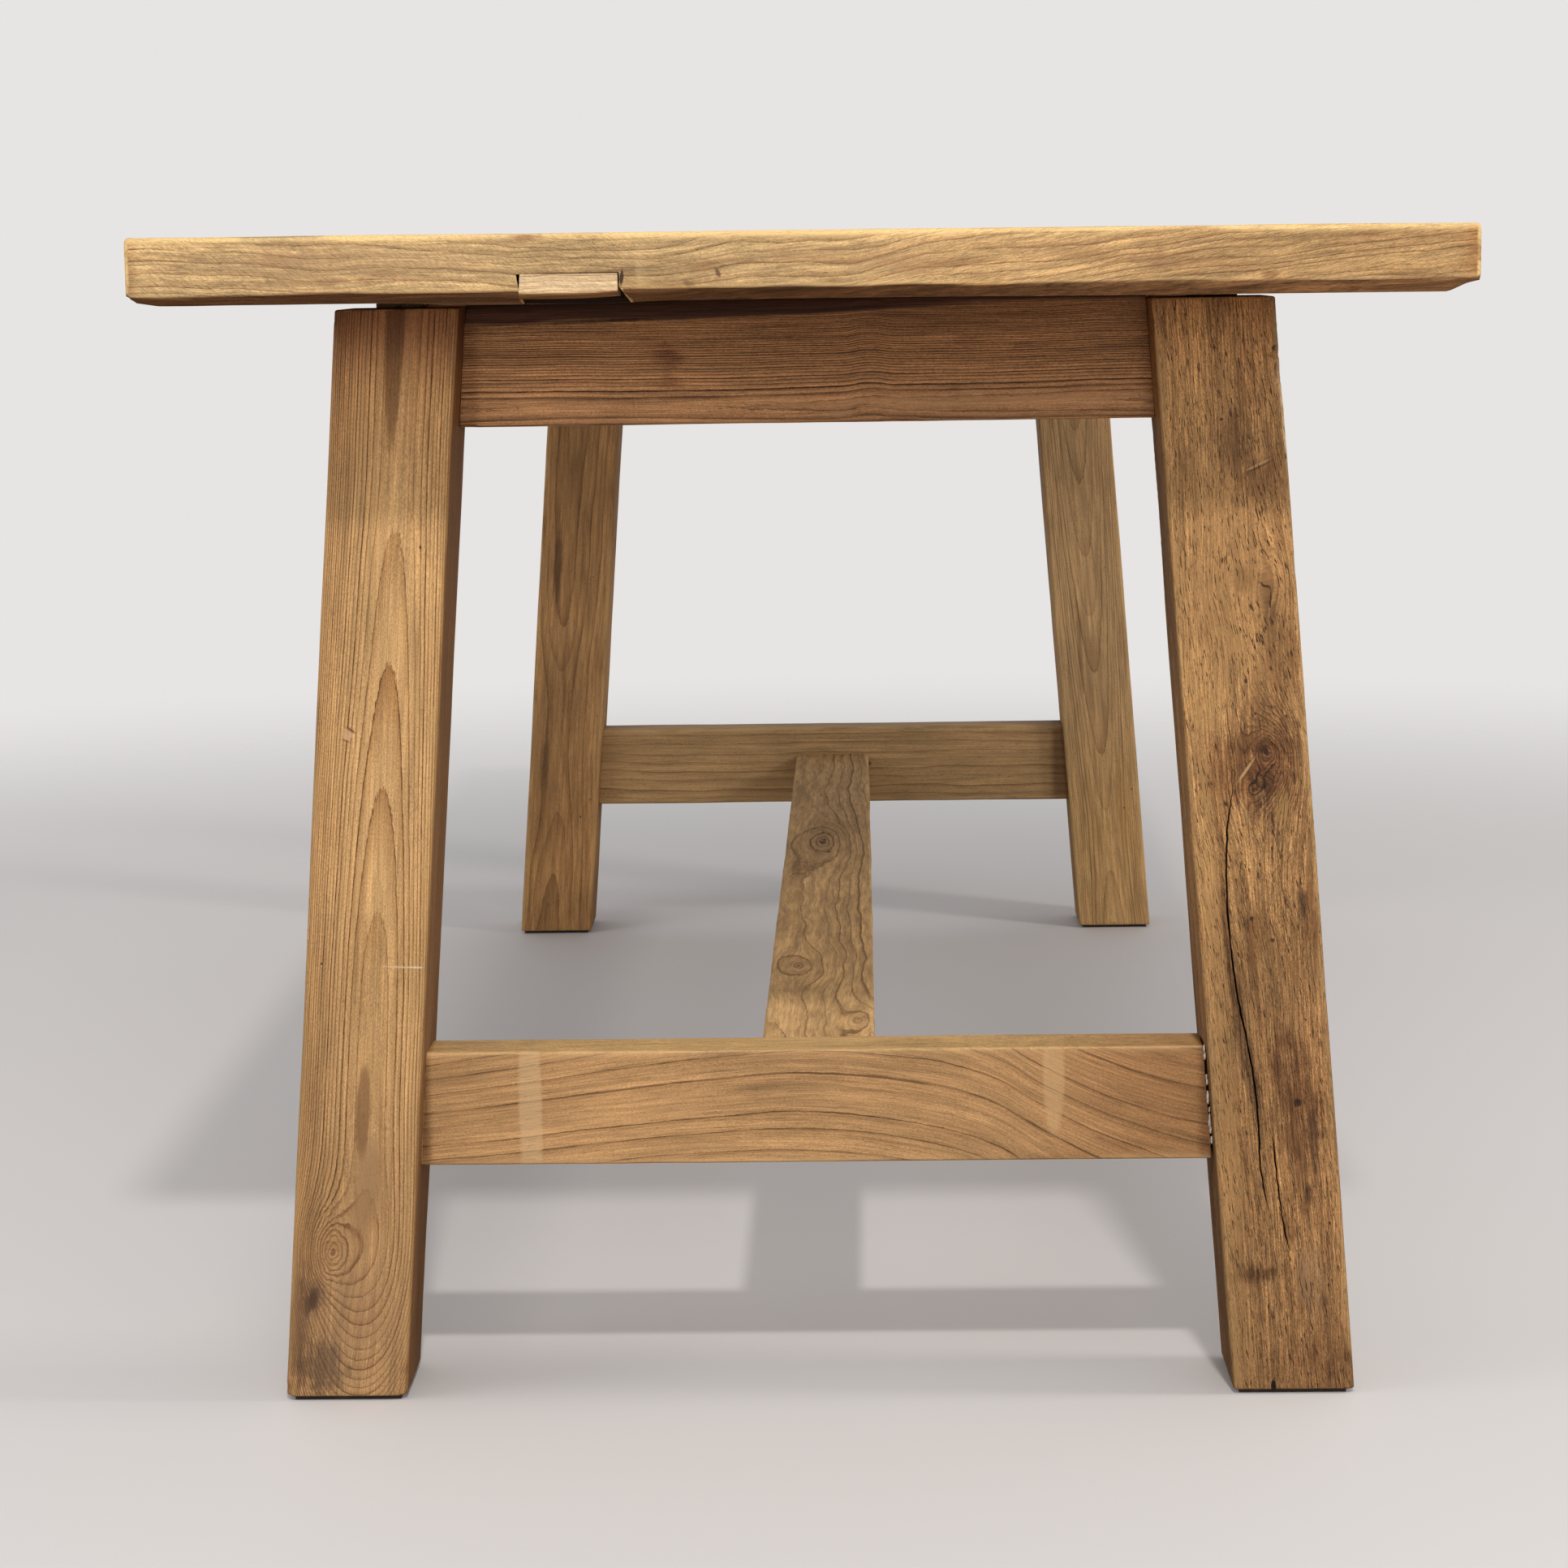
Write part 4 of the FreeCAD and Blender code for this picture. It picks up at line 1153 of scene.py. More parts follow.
nearUpperRail = {
    "shape": {
        "step": 0.0028, "columns": (33, 13), "edge": 0.002, "wave": 0.0005, "seed": 20.0, "endRound": 0.0008,
        "bevels": [
            {
                "corner": 1, "along": [0.0, 0.1, 0.23, 0.29, 0.34, 0.45],
                "across": [0.0145, 0.012, 0.0085, 0.0065, 0.0028, 0.002],
                "deep": [0.011, 0.01, 0.008, 0.006, 0.0025, 0.002], "wobble": 0.2, "bulge": 0.4, "waneShade": 1.0,
            },
        ],
        "chips": [
            {"corner": 0, "along": 0.004, "half": 0.008, "across": 0.0015, "deep": 0.002},
            {"corner": 0, "along": 0.29, "half": 0.014, "across": 0.0035, "deep": 0.0015},
        ],
    },
    "wood": {
        "early": (0.475, 0.246, 0.106), "late": (0.09, 0.034, 0.011), "lateShare": 1.0, "lineShare": 1.0,
        "line": 0.0007, "lineColour": (0.045, 0.017, 0.007), "crest": -0.12, "crestSoft": 0.03,
        "ring": 0.0024,
        "arches": {
            "centre": -0.03, "halfWidth": 0.0078, "power": 1.75, "length": 0.3, "start": 0.75,
            "front": 0.0175, "depthShare": -0.5,
        },
        "bend": 0.0016, "fray": 0.0008, "uneven": 0.8, "sharp": 1.9, "wave": (0.002, 0.06),
        "sweep": [(-0.3, 0.0), (-0.12, 0.001), (0.0, 0.0), (0.025, 0.0003), (0.042, 0.002), (0.06, 0.0005),
                  (0.14, 0.0), (0.22, 0.001), (0.25, -0.004), (0.3, -0.012)],
        "streak": 0.55, "band": 0.35, "clump": 0.3, "clumpSize": (0.0016, 0.05), "pores": 0.2, "cloud": 0.3,
        # nearly black wane: the rail's own dark waney edge together with painted shade of the gap under the
        # top
        "grime": 0.2, "specks": 0.0, "grit": 0.55, "relief": 1.0, "waneShadeColour": (0.075, 0.03, 0.017),
        "arrisColour": (0.4, 0.22, 0.1),
        "sides": [
            {"axis": 2, "sign": 1.0, "from": -0.2, "to": 0.1, "share": 0.6, "colour": (0.74, 0.68, 0.62)},
            # darker at the left end: dirt and painted shade in the joint with the leg
            {"axis": 2, "sign": -1.0, "from": 0.213, "to": 0.222, "share": 0.6, "colour": (0.5, 0.42, 0.36)},
        ],
        "blots": [
            # a black line along the top of the front face: painted shadow of the gap under the top
            {"across": 0.0308, "along": -0.045, "half": (0.0019, 0.2), "turn": -0.033, "soft": 0.7,
             "share": 0.95, "colour": (0.013, 0.006, 0.005), "ragged": 0.3},
            {"across": 0.004, "along": -0.09, "half": (0.009, 0.012), "colour": (0.5, 0.42, 0.4),
             "share": 0.8, "ragged": 0.9, "soft": 0.9, "blend": "MULTIPLY"},
            {"across": -0.014, "along": -0.09, "half": (0.005, 0.01), "colour": (0.6, 0.52, 0.5),
             "share": 0.7, "ragged": 0.9, "soft": 0.9, "blend": "MULTIPLY"},
            {"across": -0.028, "along": 0.1, "half": (0.006, 0.2), "colour": (0.62, 0.36, 0.17),
             "share": 0.35, "ragged": 0.7},
            {"across": -0.0355, "along": 0.02, "half": (0.0022, 0.007), "colour": (0.4, 0.24, 0.12),
             "share": 0.7, "ragged": 0.3},
        ],
    },
}

farUpperRail = {
    "shape": {
        "step": 0.004, "columns": (21, 11), "edge": 0.002, "wave": 0.0005, "seed": 23.0, "endRound": 0.0008,
    },
    "wood": {
        "early": (0.34, 0.18, 0.08), "late": (0.12, 0.055, 0.022), "pith": (0.02, 0.01), "ring": 0.0025,
        "lean": (0.0, 0.02), "crest": 0.1, "bend": 0.002, "sharp": 1.8, "lineShare": 0.4, "cloud": 0.35,
        "grime": 0.3,
    },
}

shortShoulder = 0.0015
makeRail("near_lower_rail", nearLowerRail, "elm of the near lower rail", nearLine,
         shortShoulder)
makeRail("far_lower_rail", farLowerRail, "elm of the far lower rail", farLine)
makeRail("near_upper_rail", nearUpperRail, "elm of the near upper rail", nearLine)
makeRail("far_upper_rail", farUpperRail, "elm of the far upper rail", farLine)


def makeGlue():
    # dried glue squeezed out of the open right shoulder, in lumps of different size
    plan = {"blobs": 15, "thick": 0.0011, "deep": 0.0013, "long": 0.0038, "proud": 0.0002, "seed": 4.0,
            "colour": (0.86, 0.83, 0.76), "dirty": (0.5, 0.4, 0.28), "speck": (0.2, 0.12, 0.07)}
    low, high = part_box("shoulder_glue_bead")
    shell = bmesh.new()
    for index in range(plan["blobs"]):
        share = (index + 0.5) / plan["blobs"]
        z = high.z - (high.z - low.z) * (share + 0.03 * roughNoise(index * 1.7, plan["seed"], 0.5))
        size = 0.75 + 0.7 * roughNoise(index * 2.3, plan["seed"], 3.5)
        if size < 0.5:
            continue
        x = legInnerX(nearLine, z) - shortShoulder * (0.45 + 0.4 * roughNoise(index * 3.1, 0.5, plan["seed"]))
        made = bmesh.ops.create_icosphere(shell, subdivisions=3, radius=1.0)
        for vertex in made["verts"]:
            lump = 1 + 0.35 * noise.noise(vertex.co * 1.6 + Vector((index * 5.0, 0, 0)))
            vertex.co = Vector((x + vertex.co.x * plan["thick"] * size * lump,
                                low.y - plan["proud"] + vertex.co.y * plan["deep"] * lump,
                                z + vertex.co.z * plan["long"] * size * lump))
    mesh = shellToMesh(shell, "shoulder_glue")
    smoothMesh(mesh)
    piece = addPiece("shoulder_glue", mesh)
    material, tree = blankMaterial("dried glue")
    spot = Signal(tree, addNode(tree, "TexCoord").outputs["Object"])
    age = useGroup(tree, ageGroup, {"Vector": spot, "Speck Share": 0.6})
    dirt = spot.noise(900.0, 3.0)
    colour = mixColour(dirt.fade(0.45, 0.7), plan["colour"], plan["dirty"])
    colour = mixColour(age["Speck"], colour, plan["speck"])
    bump = addNode(tree, "Bump", inputs={"Height": dirt, "Strength": 0.5, "Distance": 0.0003})
    rough = dirt.fade(0.3, 0.7, 0.3, 0.6)
    shader = addNode(tree, "BsdfPrincipled", inputs={
        "Base Color": colour, "Roughness": rough, "Normal": bump.outputs[0]})
    addNode(tree, "OutputMaterial", inputs={"Surface": shader.outputs[0]})
    return dress(piece, material, "shoulder_glue_bead")


makeGlue()
print("rails and glue done")


# lengthwise timbers

def makeLengthwise(node, plan, woodName, bodyLow, bodyHigh, settle=None):
    # a timber along Y: u is X, v is down, w runs along Y between two corners
    halfAcross, halfDeep = (bodyHigh.x - bodyLow.x) / 2, (bodyHigh.z - bodyLow.z) / 2
    middle = (bodyLow + bodyHigh) / 2
    length = bodyHigh.y - bodyLow.y

    def place(local):
        x, z = middle.x + local[:, 0], middle.z - local[:, 1]
        return np.column_stack((x, bodyLow.y + local[:, 2], settle(x, z) if settle else z))

    piece = timber(node + "_timber", (halfAcross, halfDeep), length, plan["shape"], place)
    grainFrame = axisFrame(right, down, back, middle)
    material = woodMaterial(woodName, grainFrame, {"frontDepth": halfDeep - faceBand, **plan["wood"]})
    return dress(piece, material, node)


stretcherPlan = {
    "wider": 0.001,
    "shape": {
        "step": 0.004, "columns": (25, 13), "edge": 0.003, "wave": 0.0009, "seed": 26.0, "endRound": 0.0008,
    },
    "wood": {
        "early": (0.62, 0.38, 0.165), "late": (0.28, 0.14, 0.055), "lateShare": 0.5, "lineShare": 0.7,
        "line": 0.0009, "pith": (-0.03, 0.05), "lean": (0.0, 0.012), "crest": 0.5, "ring": 0.0055,
        "bend": 0.008, "fray": 0.0008, "uneven": 1.2, "sharp": 2.4, "wave": (0.01, 0.09), "streak": 0.35,
        "band": 0.3, "clumpSize": (0.003, 0.03), "cloud": 0.3, "grime": 0.25, "rough": 0.8, "gloss": 0.12,
        "sides": [
            # darker towards the far end: painted shade under the top
            {"axis": 2, "sign": 1.0, "from": -0.45, "to": 0.5, "share": 1.0, "colour": (0.66, 0.66, 0.66)},
        ],
        "knots": [
            {"across": -0.0045, "along": 0.205, "size": 0.021, "stretch": 5.2, "push": 0.03, "heart": 0.2,
             "shade": 0.3, "lines": 0.5},
            {"across": -0.018, "along": -0.397, "size": 0.015, "stretch": 3.0, "push": 0.014, "heart": 0.08,
             "shade": 0.15},
            {"across": 0.028, "along": -0.6, "size": 0.018, "stretch": 3.5, "push": 0.016, "heart": 0.05,
             "shade": 0.15},
        ],
    },
}
apronPlan = {
    "shape": {
        "step": 0.006, "columns": (11, 21), "edge": 0.0018, "wave": 0.0006, "seed": 29.0, "endRound": 0.0008,
    },
    "wood": {
        "early": (0.3, 0.16, 0.07), "late": (0.12, 0.055, 0.022), "pith": (0.03, -0.01), "ring": 0.0028,
        "lean": (0.0, 0.01), "bend": 0.004, "sharp": 2.0, "lineShare": 0.4, "cloud": 0.4, "grime": 0.35,
    },
}

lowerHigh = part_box("near_lower_rail")[1]
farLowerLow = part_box("far_lower_rail")[0]
low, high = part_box("stretcher")
makeLengthwise("stretcher", stretcherPlan, "elm of the stretcher",
               Vector((low.x - stretcherPlan["wider"], lowerHigh.y, low.z)),
               Vector((high.x + stretcherPlan["wider"], farLowerLow.y, high.z)))
for side, seed in (("left", 29.0), ("right", 31.0)):
    low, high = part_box(side + "_apron")
    plan = {"shape": {**apronPlan["shape"], "seed": seed}, "wood": apronPlan["wood"]}
    makeLengthwise(side + "_apron", plan, "elm of the " + side + " apron",
                   Vector((low.x, nearLine["y"] + nearLine["halfY"], low.z)),
                   Vector((high.x, farLine["y"] - farLine["halfY"], high.z)))
print("stretcher and aprons done")


# the top

topPlan = {
    "bevelAcross": 0.018, "bevelUp": 0.0065, "bevelLeft": 0.0075, "bevelRight": 0.0085, "proud": 0.0015,
    "dropRight": 0.0028, "liftNear": 0.0025, "liftPlanks": 0.0012,
    "lip": ((-0.245, -0.215, -0.12, -0.08), (0.0, 0.0019, 0.0016, 0.0)),  # hangs lower under the old mortise
}
nearBoardLow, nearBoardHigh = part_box("near_breadboard_end")
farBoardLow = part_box("far_breadboard_end")[0]
topLevel, underLevel = nearBoardHigh.z, nearBoardLow.z


def settleTop(lift):
    # the top has worn thinner: its right side lies lower and its left side stands off the frame
    def settle(x, z):
        toRight = np.clip((x - nearBoardLow.x) / (nearBoardHigh.x - nearBoardLow.x), 0, 1)
        upper = topLevel - topPlan["dropRight"] * toRight
        under = underLevel + lift * (1 - toRight)
        return under + (z - underLevel) / (topLevel - underLevel) * (upper - under)
    return settle


plankWoods = {
    "left_outer": {
        "early": (0.56, 0.36, 0.175), "pith": (0.02, 0.05), "crest": -0.2, "ring": 0.0045, "knots": [],
    },
    "left_inner": {
        "early": (0.49, 0.3, 0.135), "pith": (-0.01, 0.04), "crest": 0.4, "ring": 0.0038,
        "knots": [
            {"across": 0.03, "along": -0.31, "size": 0.02, "stretch": 2.4, "push": 0.015, "heart": 0.3},
        ],
    },
    "centre": {
        "early": (0.6, 0.4, 0.195), "pith": (0.015, 0.06), "crest": 0.1, "ring": 0.005,
        "knots": [
            {"across": -0.03, "along": 0.42, "size": 0.024, "stretch": 2.0, "push": 0.016, "heart": 0.32},
        ],
    },
    "right_inner": {
        "early": (0.52, 0.315, 0.14), "pith": (-0.02, 0.035), "crest": -0.5, "ring": 0.0042,
        "knots": [
            {"across": 0.02, "along": 0.05, "size": 0.016, "stretch": 2.2, "push": 0.012, "heart": 0.28},
        ],
    },
    "right_outer": {
        "early": (0.57, 0.375, 0.185), "pith": (0.01, 0.055), "crest": 0.6, "ring": 0.0047,
        "knots": [
            {"across": -0.01, "along": -0.55, "size": 0.018, "stretch": 2.6, "push": 0.013, "heart": 0.3},
        ],
    },
}
topWood = {
    "late": (0.27, 0.14, 0.055), "lateShare": 0.8, "lineShare": 0.75, "line": 0.0009, "lean": (0.0, 0.02),
    "bend": 0.006, "fray": 0.0006, "uneven": 1.4, "sharp": 2.2, "wave": (0.008, 0.2), "pores": 0.6,
    "poreShare": 0.4, "streak": 0.35, "clump": 0.2, "clumpSize": (0.002, 0.05), "cloud": 0.3, "grime": 0.3,
    "specks": 0.1, "rough": 0.5,
}
plankShape = {"step": 0.0075, "columns": (25, 9), "edge": 0.0012, "wave": 0.0005, "endRound": 0.0008}
seamShade = {"axis": 0, "share": 0.9, "colour": (0.3, 0.25, 0.22)}  # painted shade where two planks meet
seamFrom, seamTo = 0.0035, 0.0008

for index, (name, changes) in enumerate(plankWoods.items()):
    node = "top_plank_" + name
    low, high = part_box(node)
    shape = {**plankShape, "seed": 40.0 + 3 * index}
    if "outer" in name:
        corner = 3 if name == "left_outer" else 2  # v points down, so the lower corners are 2 and 3
        shape["bevels"] = [{"corner": corner, "along": [0, 2], "across": [topPlan["bevelAcross"]] * 2,
                            "deep": [topPlan["bevelUp"]] * 2, "wobble": 0.15, "bulge": 0.3}]
    seams = {"left_outer": (1.0,), "right_outer": (-1.0,)}.get(name, (-1.0, 1.0))
    reach = (high.x - low.x) / 2
    sides = [{**seamShade, "sign": side, "from": reach - seamFrom, "to": reach - seamTo} for side in seams]
    plan = {"shape": shape, "wood": {**topWood, **changes, "sides": sides}}
    makeLengthwise(node, plan, "elm of the " + name + " plank",
                   Vector((low.x, nearBoardHigh.y, low.z)), Vector((high.x, farBoardLow.y, high.z)),
                   settleTop(topPlan["liftPlanks"]))


breadboardPlan = {
    "shape": {
        "step": 0.0028, "columns": (19, 31), "edge": 0.0026, "wave": 0.0006, "seed": 60.0, "endRound": 0.0034,
        "arrisReach": 0.003,
    },
    "wood": {
        "early": (0.56, 0.375, 0.172), "late": (0.3, 0.15, 0.056), "lateShare": 0.65, "lineShare": 0.6,
        "line": 0.0006, "lineColour": (0.17, 0.08, 0.03), "pith": (0.09, -0.08), "lean": (-0.04, 0.0),
        "ring": 0.0036, "bend": 0.013, "fray": 0.001, "uneven": 1.8, "sharp": 1.6,
        "sweep": [(-0.42, 0.002), (-0.25, 0.0), (-0.1, 0.003), (0.0, 0.012), (0.1, 0.026), (0.25, 0.05),
                  (0.42, 0.07)],
        "wave": (0.009, 0.07), "streak": 0.5, "band": 0.35, "clump": 0.5, "clumpSize": (0.003, 0.03),
        "pores": 0.3, "poreShare": 0.3, "poreLength": 0.006, "cloud": 0.5, "grime": 0.6, "specks": 0.0,
        "grit": 0.45, "rough": 0.55,
        "marks": [
            {"turn": -0.6, "width": 0.0007, "length": 0.005, "from": (-0.42, -0.4), "to": (-0.15, 0.05),
             "share": 0.34},
            {"turn": 0.35, "width": 0.0007, "length": 0.006, "from": (-0.05, 0.12), "to": (0.4, 0.42),
             "share": 0.34},
        ],
        # the lower bevel's dark brown is partly the wood's own wane, partly painted shade, as the bevel faces
        # down
        "arrisColour": (0.82, 0.56, 0.24), "arrisShare": 0.95, "waneShadeColour": (0.13, 0.06, 0.023),
        "waneShadeEnd": (0.32, 0.165, 0.07),
        "sides": [
            {"axis": 2, "sign": 1.0, "from": -0.1, "to": 0.3, "share": 1.0, "colour": (0.9, 0.82, 0.74)},
            {"axis": 2, "sign": 1.0, "from": 0.395, "to": 0.4125, "share": 0.7, "colour": (0.82, 0.66, 0.5)},
            {"axis": 2, "sign": -1.0, "from": 0.405, "to": 0.4125, "share": 0.7, "colour": (0.7, 0.56, 0.45)},
        ],
    },
}
nearBoardBlots = [
    {"across": 0.0195, "along": 0.0, "half": (0.0022, 0.45), "colour": (0.8, 0.55, 0.25), "share": 0.7,
     "ragged": 0.12},
    {"across": -0.0155, "along": 0.03, "half": (0.0045, 0.39), "colour": (0.68, 0.43, 0.16), "share": 0.65,
     "ragged": 0.3},
    {"across": 0.004, "along": -0.29, "half": (0.014, 0.11), "colour": (0.42, 0.26, 0.13), "share": 0.45,
     "ragged": 0.8},
    {"across": -0.0005, "along": -0.097, "half": (0.022, 0.0045), "colour": (0.66, 0.45, 0.22), "share": 0.3,
     "ragged": 0.1},
    {"across": -0.0062, "along": -0.109, "half": (0.0056, 0.0013), "turn": 0.1, "colour": (0.05, 0.022, 0.01),
     "share": 1.0, "ragged": 0.25, "soft": 0.3, "grit": 400.0},
    {"across": -0.0115, "along": -0.067, "half": (0.002, 0.006), "turn": 0.5, "colour": (0.16, 0.08, 0.035),
     "share": 0.8},
    {"across": -0.0045, "along": -0.05, "half": (0.004, 0.0015), "turn": -0.4, "colour": (0.12, 0.055, 0.025),
     "share": 0.85},
    {"across": -0.011, "along": 0.286, "half": (0.003, 0.006), "colour": (0.25, 0.12, 0.05), "share": 0.7},
    {"across": -0.0135, "along": 0.197, "half": (0.0035, 0.015), "colour": (0.26, 0.13, 0.055), "share": 0.75,
     "ragged": 0.3},
    {"across": 0.0185, "along": -0.166, "half": (0.0022, 0.012), "colour": (0.3, 0.12, 0.06), "share": 0.7,
     "ragged": 0.3},
    {"across": -0.0065, "along": -0.3, "half": (0.003, 0.06), "colour": (0.33, 0.19, 0.09), "share": 0.5,
     "ragged": 0.7},
    {"across": 0.003, "along": 0.05, "half": (0.006, 0.07), "turn": 0.06, "colour": (0.36, 0.2, 0.09),
     "share": 0.4, "ragged": 0.8},
    {"across": 0.002, "along": 0.2, "half": (0.005, 0.1), "turn": 0.08, "colour": (0.34, 0.18, 0.08),
     "share": 0.4, "ragged": 0.8},
]


def makeBreadboard(node, woodName, forward, shape, wood, lift, lip=False):
    # u is up, v runs away from the outer face, w runs along X
    low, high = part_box(node)
    halfUp, halfDeep = (high.z - low.z) / 2, (high.y - low.y) / 2
    middle = (low + high) / 2
    settle = settleTop(lift)
    slopeShare, cutPower, edgePower = 0.35, 1.15, 6

    def place(local):
        share = local[:, 2] / (high.x - low.x)
        x = low.x - topPlan["proud"] + share * (high.x - low.x + 2 * topPlan["proud"])
        fromSide = np.minimum(x - low.x, high.x - x) / topPlan["bevelAcross"]
        size = np.where(x < 0, topPlan["bevelLeft"], topPlan["bevelRight"])
        inward = np.clip(1 - fromSide, 0, 1)
        rounded = slopeShare * inward + (1 - slopeShare) * np.clip(inward * 4 - 3, 0, 1) ** 2
        profile = np.where(x < 0, rounded, inward ** cutPower)  # rounded on the left, cut on the right
        lower = np.interp(x, *topPlan["lip"]) if lip else 0.0
        raised = (profile * size - lower) * np.clip(-local[:, 0] / halfUp, 0, 1) ** edgePower
        z = settle(x, middle.z + local[:, 0]) + raised
        return np.column_stack((x, middle.y + forward * local[:, 1], z))

    piece = timber(node + "_timber", (halfUp, halfDeep), high.x - low.x, shape, place)
    grainFrame = axisFrame(up, front, right, middle)
    material = woodMaterial(woodName, grainFrame, {
        "frontSide": forward, "frontDepth": halfDeep - faceBand, **wood})
    return dress(piece, material, node)


def cutNotch(piece, corners, recessShadeMaterial):
    # the old mortise in the lower edge, a little out of square; corners are (x, z) pairs
    outside, depth = 0.01, 0.028
    shell = bmesh.new()
    outer = [shell.verts.new((x, nearBoardLow.y - outside, z)) for x, z in corners]
    inner = [shell.verts.new((x, nearBoardLow.y + depth, z)) for x, z in corners]
    shell.faces.new(outer)
    shell.faces.new(inner[::-1])
    for index in range(len(corners)):
        beside = (index + 1) % len(corners)
        shell.faces.new((outer[index], inner[index], inner[beside], outer[beside]))
    bmesh.ops.recalc_face_normals(shell, faces=shell.faces)
    mesh = shellToMesh(shell, "notch_cutter")
    mesh.materials.append(recessShadeMaterial)
    cutter = addPiece("notch_cutter", mesh)
    modifier = piece.modifiers.new("notch", "BOOLEAN")
    modifier.operation = "DIFFERENCE"
    modifier.solver = "EXACT"
    modifier.material_mode = "TRANSFER"
    modifier.object = cutter
    result = bpy.data.meshes.new_from_object(piece.evaluated_get(bpy.context.evaluated_depsgraph_get()))
    piece.modifiers.clear()
    piece.data = result
    bpy.data.objects.remove(cutter)
    result.set_sharp_from_angle(angle=math.radians(sharpAngle))


nearShape = {
    **breadboardPlan["shape"],
    "bevels": [
        {
            "corner": 0, "along": [0.0, 0.1, 0.45, 0.825], "across": [0.0045, 0.0062, 0.0078, 0.0088],
            "deep": [0.005, 0.006, 0.007, 0.0075], "wobble": 0.12, "bulge": 0.1, "waneShade": 1.0,
        },
    ],
}
nearBoard = makeBreadboard("near_breadboard_end", "elm of the near breadboard end", 1.0, nearShape,
                           {**breadboardPlan["wood"], "blots": nearBoardBlots}, topPlan["liftNear"], True)
notchCorners = [(-0.166, 0.73), (-0.1722, 0.748), (-0.1737, 0.7575), (-0.15, 0.758), (-0.1112, 0.7581),
                (-0.1106, 0.7576), (-0.1104, 0.7535), (-0.1107, 0.7495), (-0.108, 0.7455), (-0.097, 0.73)]
recessFrame = axisFrame(up, front, right, (nearBoardLow + nearBoardHigh) / 2)
# nearly black: painted shade inside the recess of the old mortise
mortiseShadeWood = {
    "early": (0.018, 0.008, 0.005), "late": (0.008, 0.004, 0.003), "arrisShare": 0.0, "ring": 0.003,
    "cloud": 0.5, "grime": 0.5, "rough": 0.8,
}
cutNotch(nearBoard, notchCorners, woodMaterial("painted shade in the mortise", recessFrame, mortiseShadeWood))
makeBreadboard("far_breadboard_end", "elm of the far breadboard end", -1.0, {**nearShape, "seed": 66.0},
               {**breadboardPlan["wood"], "pith": (-0.08, 0.08)}, topPlan["liftPlanks"])

patchPlan = {
    "inset": 0.0024, "slant": 0.0012, "lower": 0.0042, "proud": 0.0003, "rise": 0.3,
    "shape": {
        "step": 0.0022, "columns": (9, 11), "edge": 0.0005, "wave": 0.0002, "seed": 70.0, "endRound": 0.0004,
        "bevels": [
            {
                # the lower bevel takes the dark wane colour: painted shade of the patch's underside
                "corner": 0, "along": [0, 0.1], "across": [0.0022, 0.0022], "deep": [0.0035, 0.0035],
                "wobble": 0.1, "bulge": 0.2, "waneShade": 1.0,
            },
        ],
    },
    "wood": {
        "early": (0.78, 0.56, 0.32), "late": (0.6, 0.38, 0.19), "lateShare": 0.5, "lineShare": 0.1,
        "pith": (0.03, -0.02), "ring": 0.0022, "bend": 0.004, "sharp": 2.0, "wave": (0.004, 0.03),
        "streak": 0.3, "band": 0.3, "clump": 0.25, "clumpSize": (0.002, 0.012), "pores": 0.25,
        "poreShare": 0.3, "cloud": 0.2, "grime": 0.1, "specks": 0.0, "arrisColour": (0.4, 0.24, 0.12),
        "arrisShare": 0.3,
        "marks": [
            {"turn": -0.4, "width": 0.0012, "length": 0.008, "from": (-0.1, -0.09), "to": (0.09, 0.1),
             "share": 0.15},
        ],
    },
}


def makePatch():
    low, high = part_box("mortise_patch")
    halfUp, halfDeep = (high.z - low.z) / 2, (high.y - low.y) / 2
    middle = (low + high) / 2

    def place(local):
        share = 0.5 - local[:, 0] / (2 * halfUp)
        start = low.x + patchPlan["inset"] + patchPlan["slant"] * (1 - share)
        x = start + local[:, 2] / (high.x - low.x) * (high.x - start)
        toRight = np.clip((x - middle.x) / (high.x - middle.x), 0, 1)
        lower = patchPlan["lower"] * share * (1 - patchPlan["rise"] * toRight ** 2)
        y = middle.y - patchPlan["proud"] + local[:, 1]
        return np.column_stack((x, y, middle.z + local[:, 0] - lower))

    piece = timber("mortise_patch_block", (halfUp, halfDeep), high.x - low.x, patchPlan["shape"], place)
    grainFrame = axisFrame(up, front, right, middle)
    material = woodMaterial("fresh wood of the patch", grainFrame, {
        "frontSide": 1.0, "frontDepth": halfDeep - faceBand, **patchPlan["wood"]})
    return dress(piece, material, "mortise_patch")


makePatch()
print("top done")


# small parts, which keep the shapes of the frame apart from the pins

def dressNode(name, material):
    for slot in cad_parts[name].material_slots:
        slot.material = material


hiddenWood = {
    "early": (0.5, 0.32, 0.16), "late": (0.3, 0.17, 0.075), "lateShare": 0.5, "ring": 0.002,
    "wave": (0.003, 0.05), "cloud": 0.3, "grime": 0.3,
}
underside = Vector((0, 0, underLevel))
lengthFrame = axisFrame(right, down, back, underside)
acrossFrame = axisFrame(up, front, right, underside)
uprightFrame = axisFrame(right, back, up, underside)


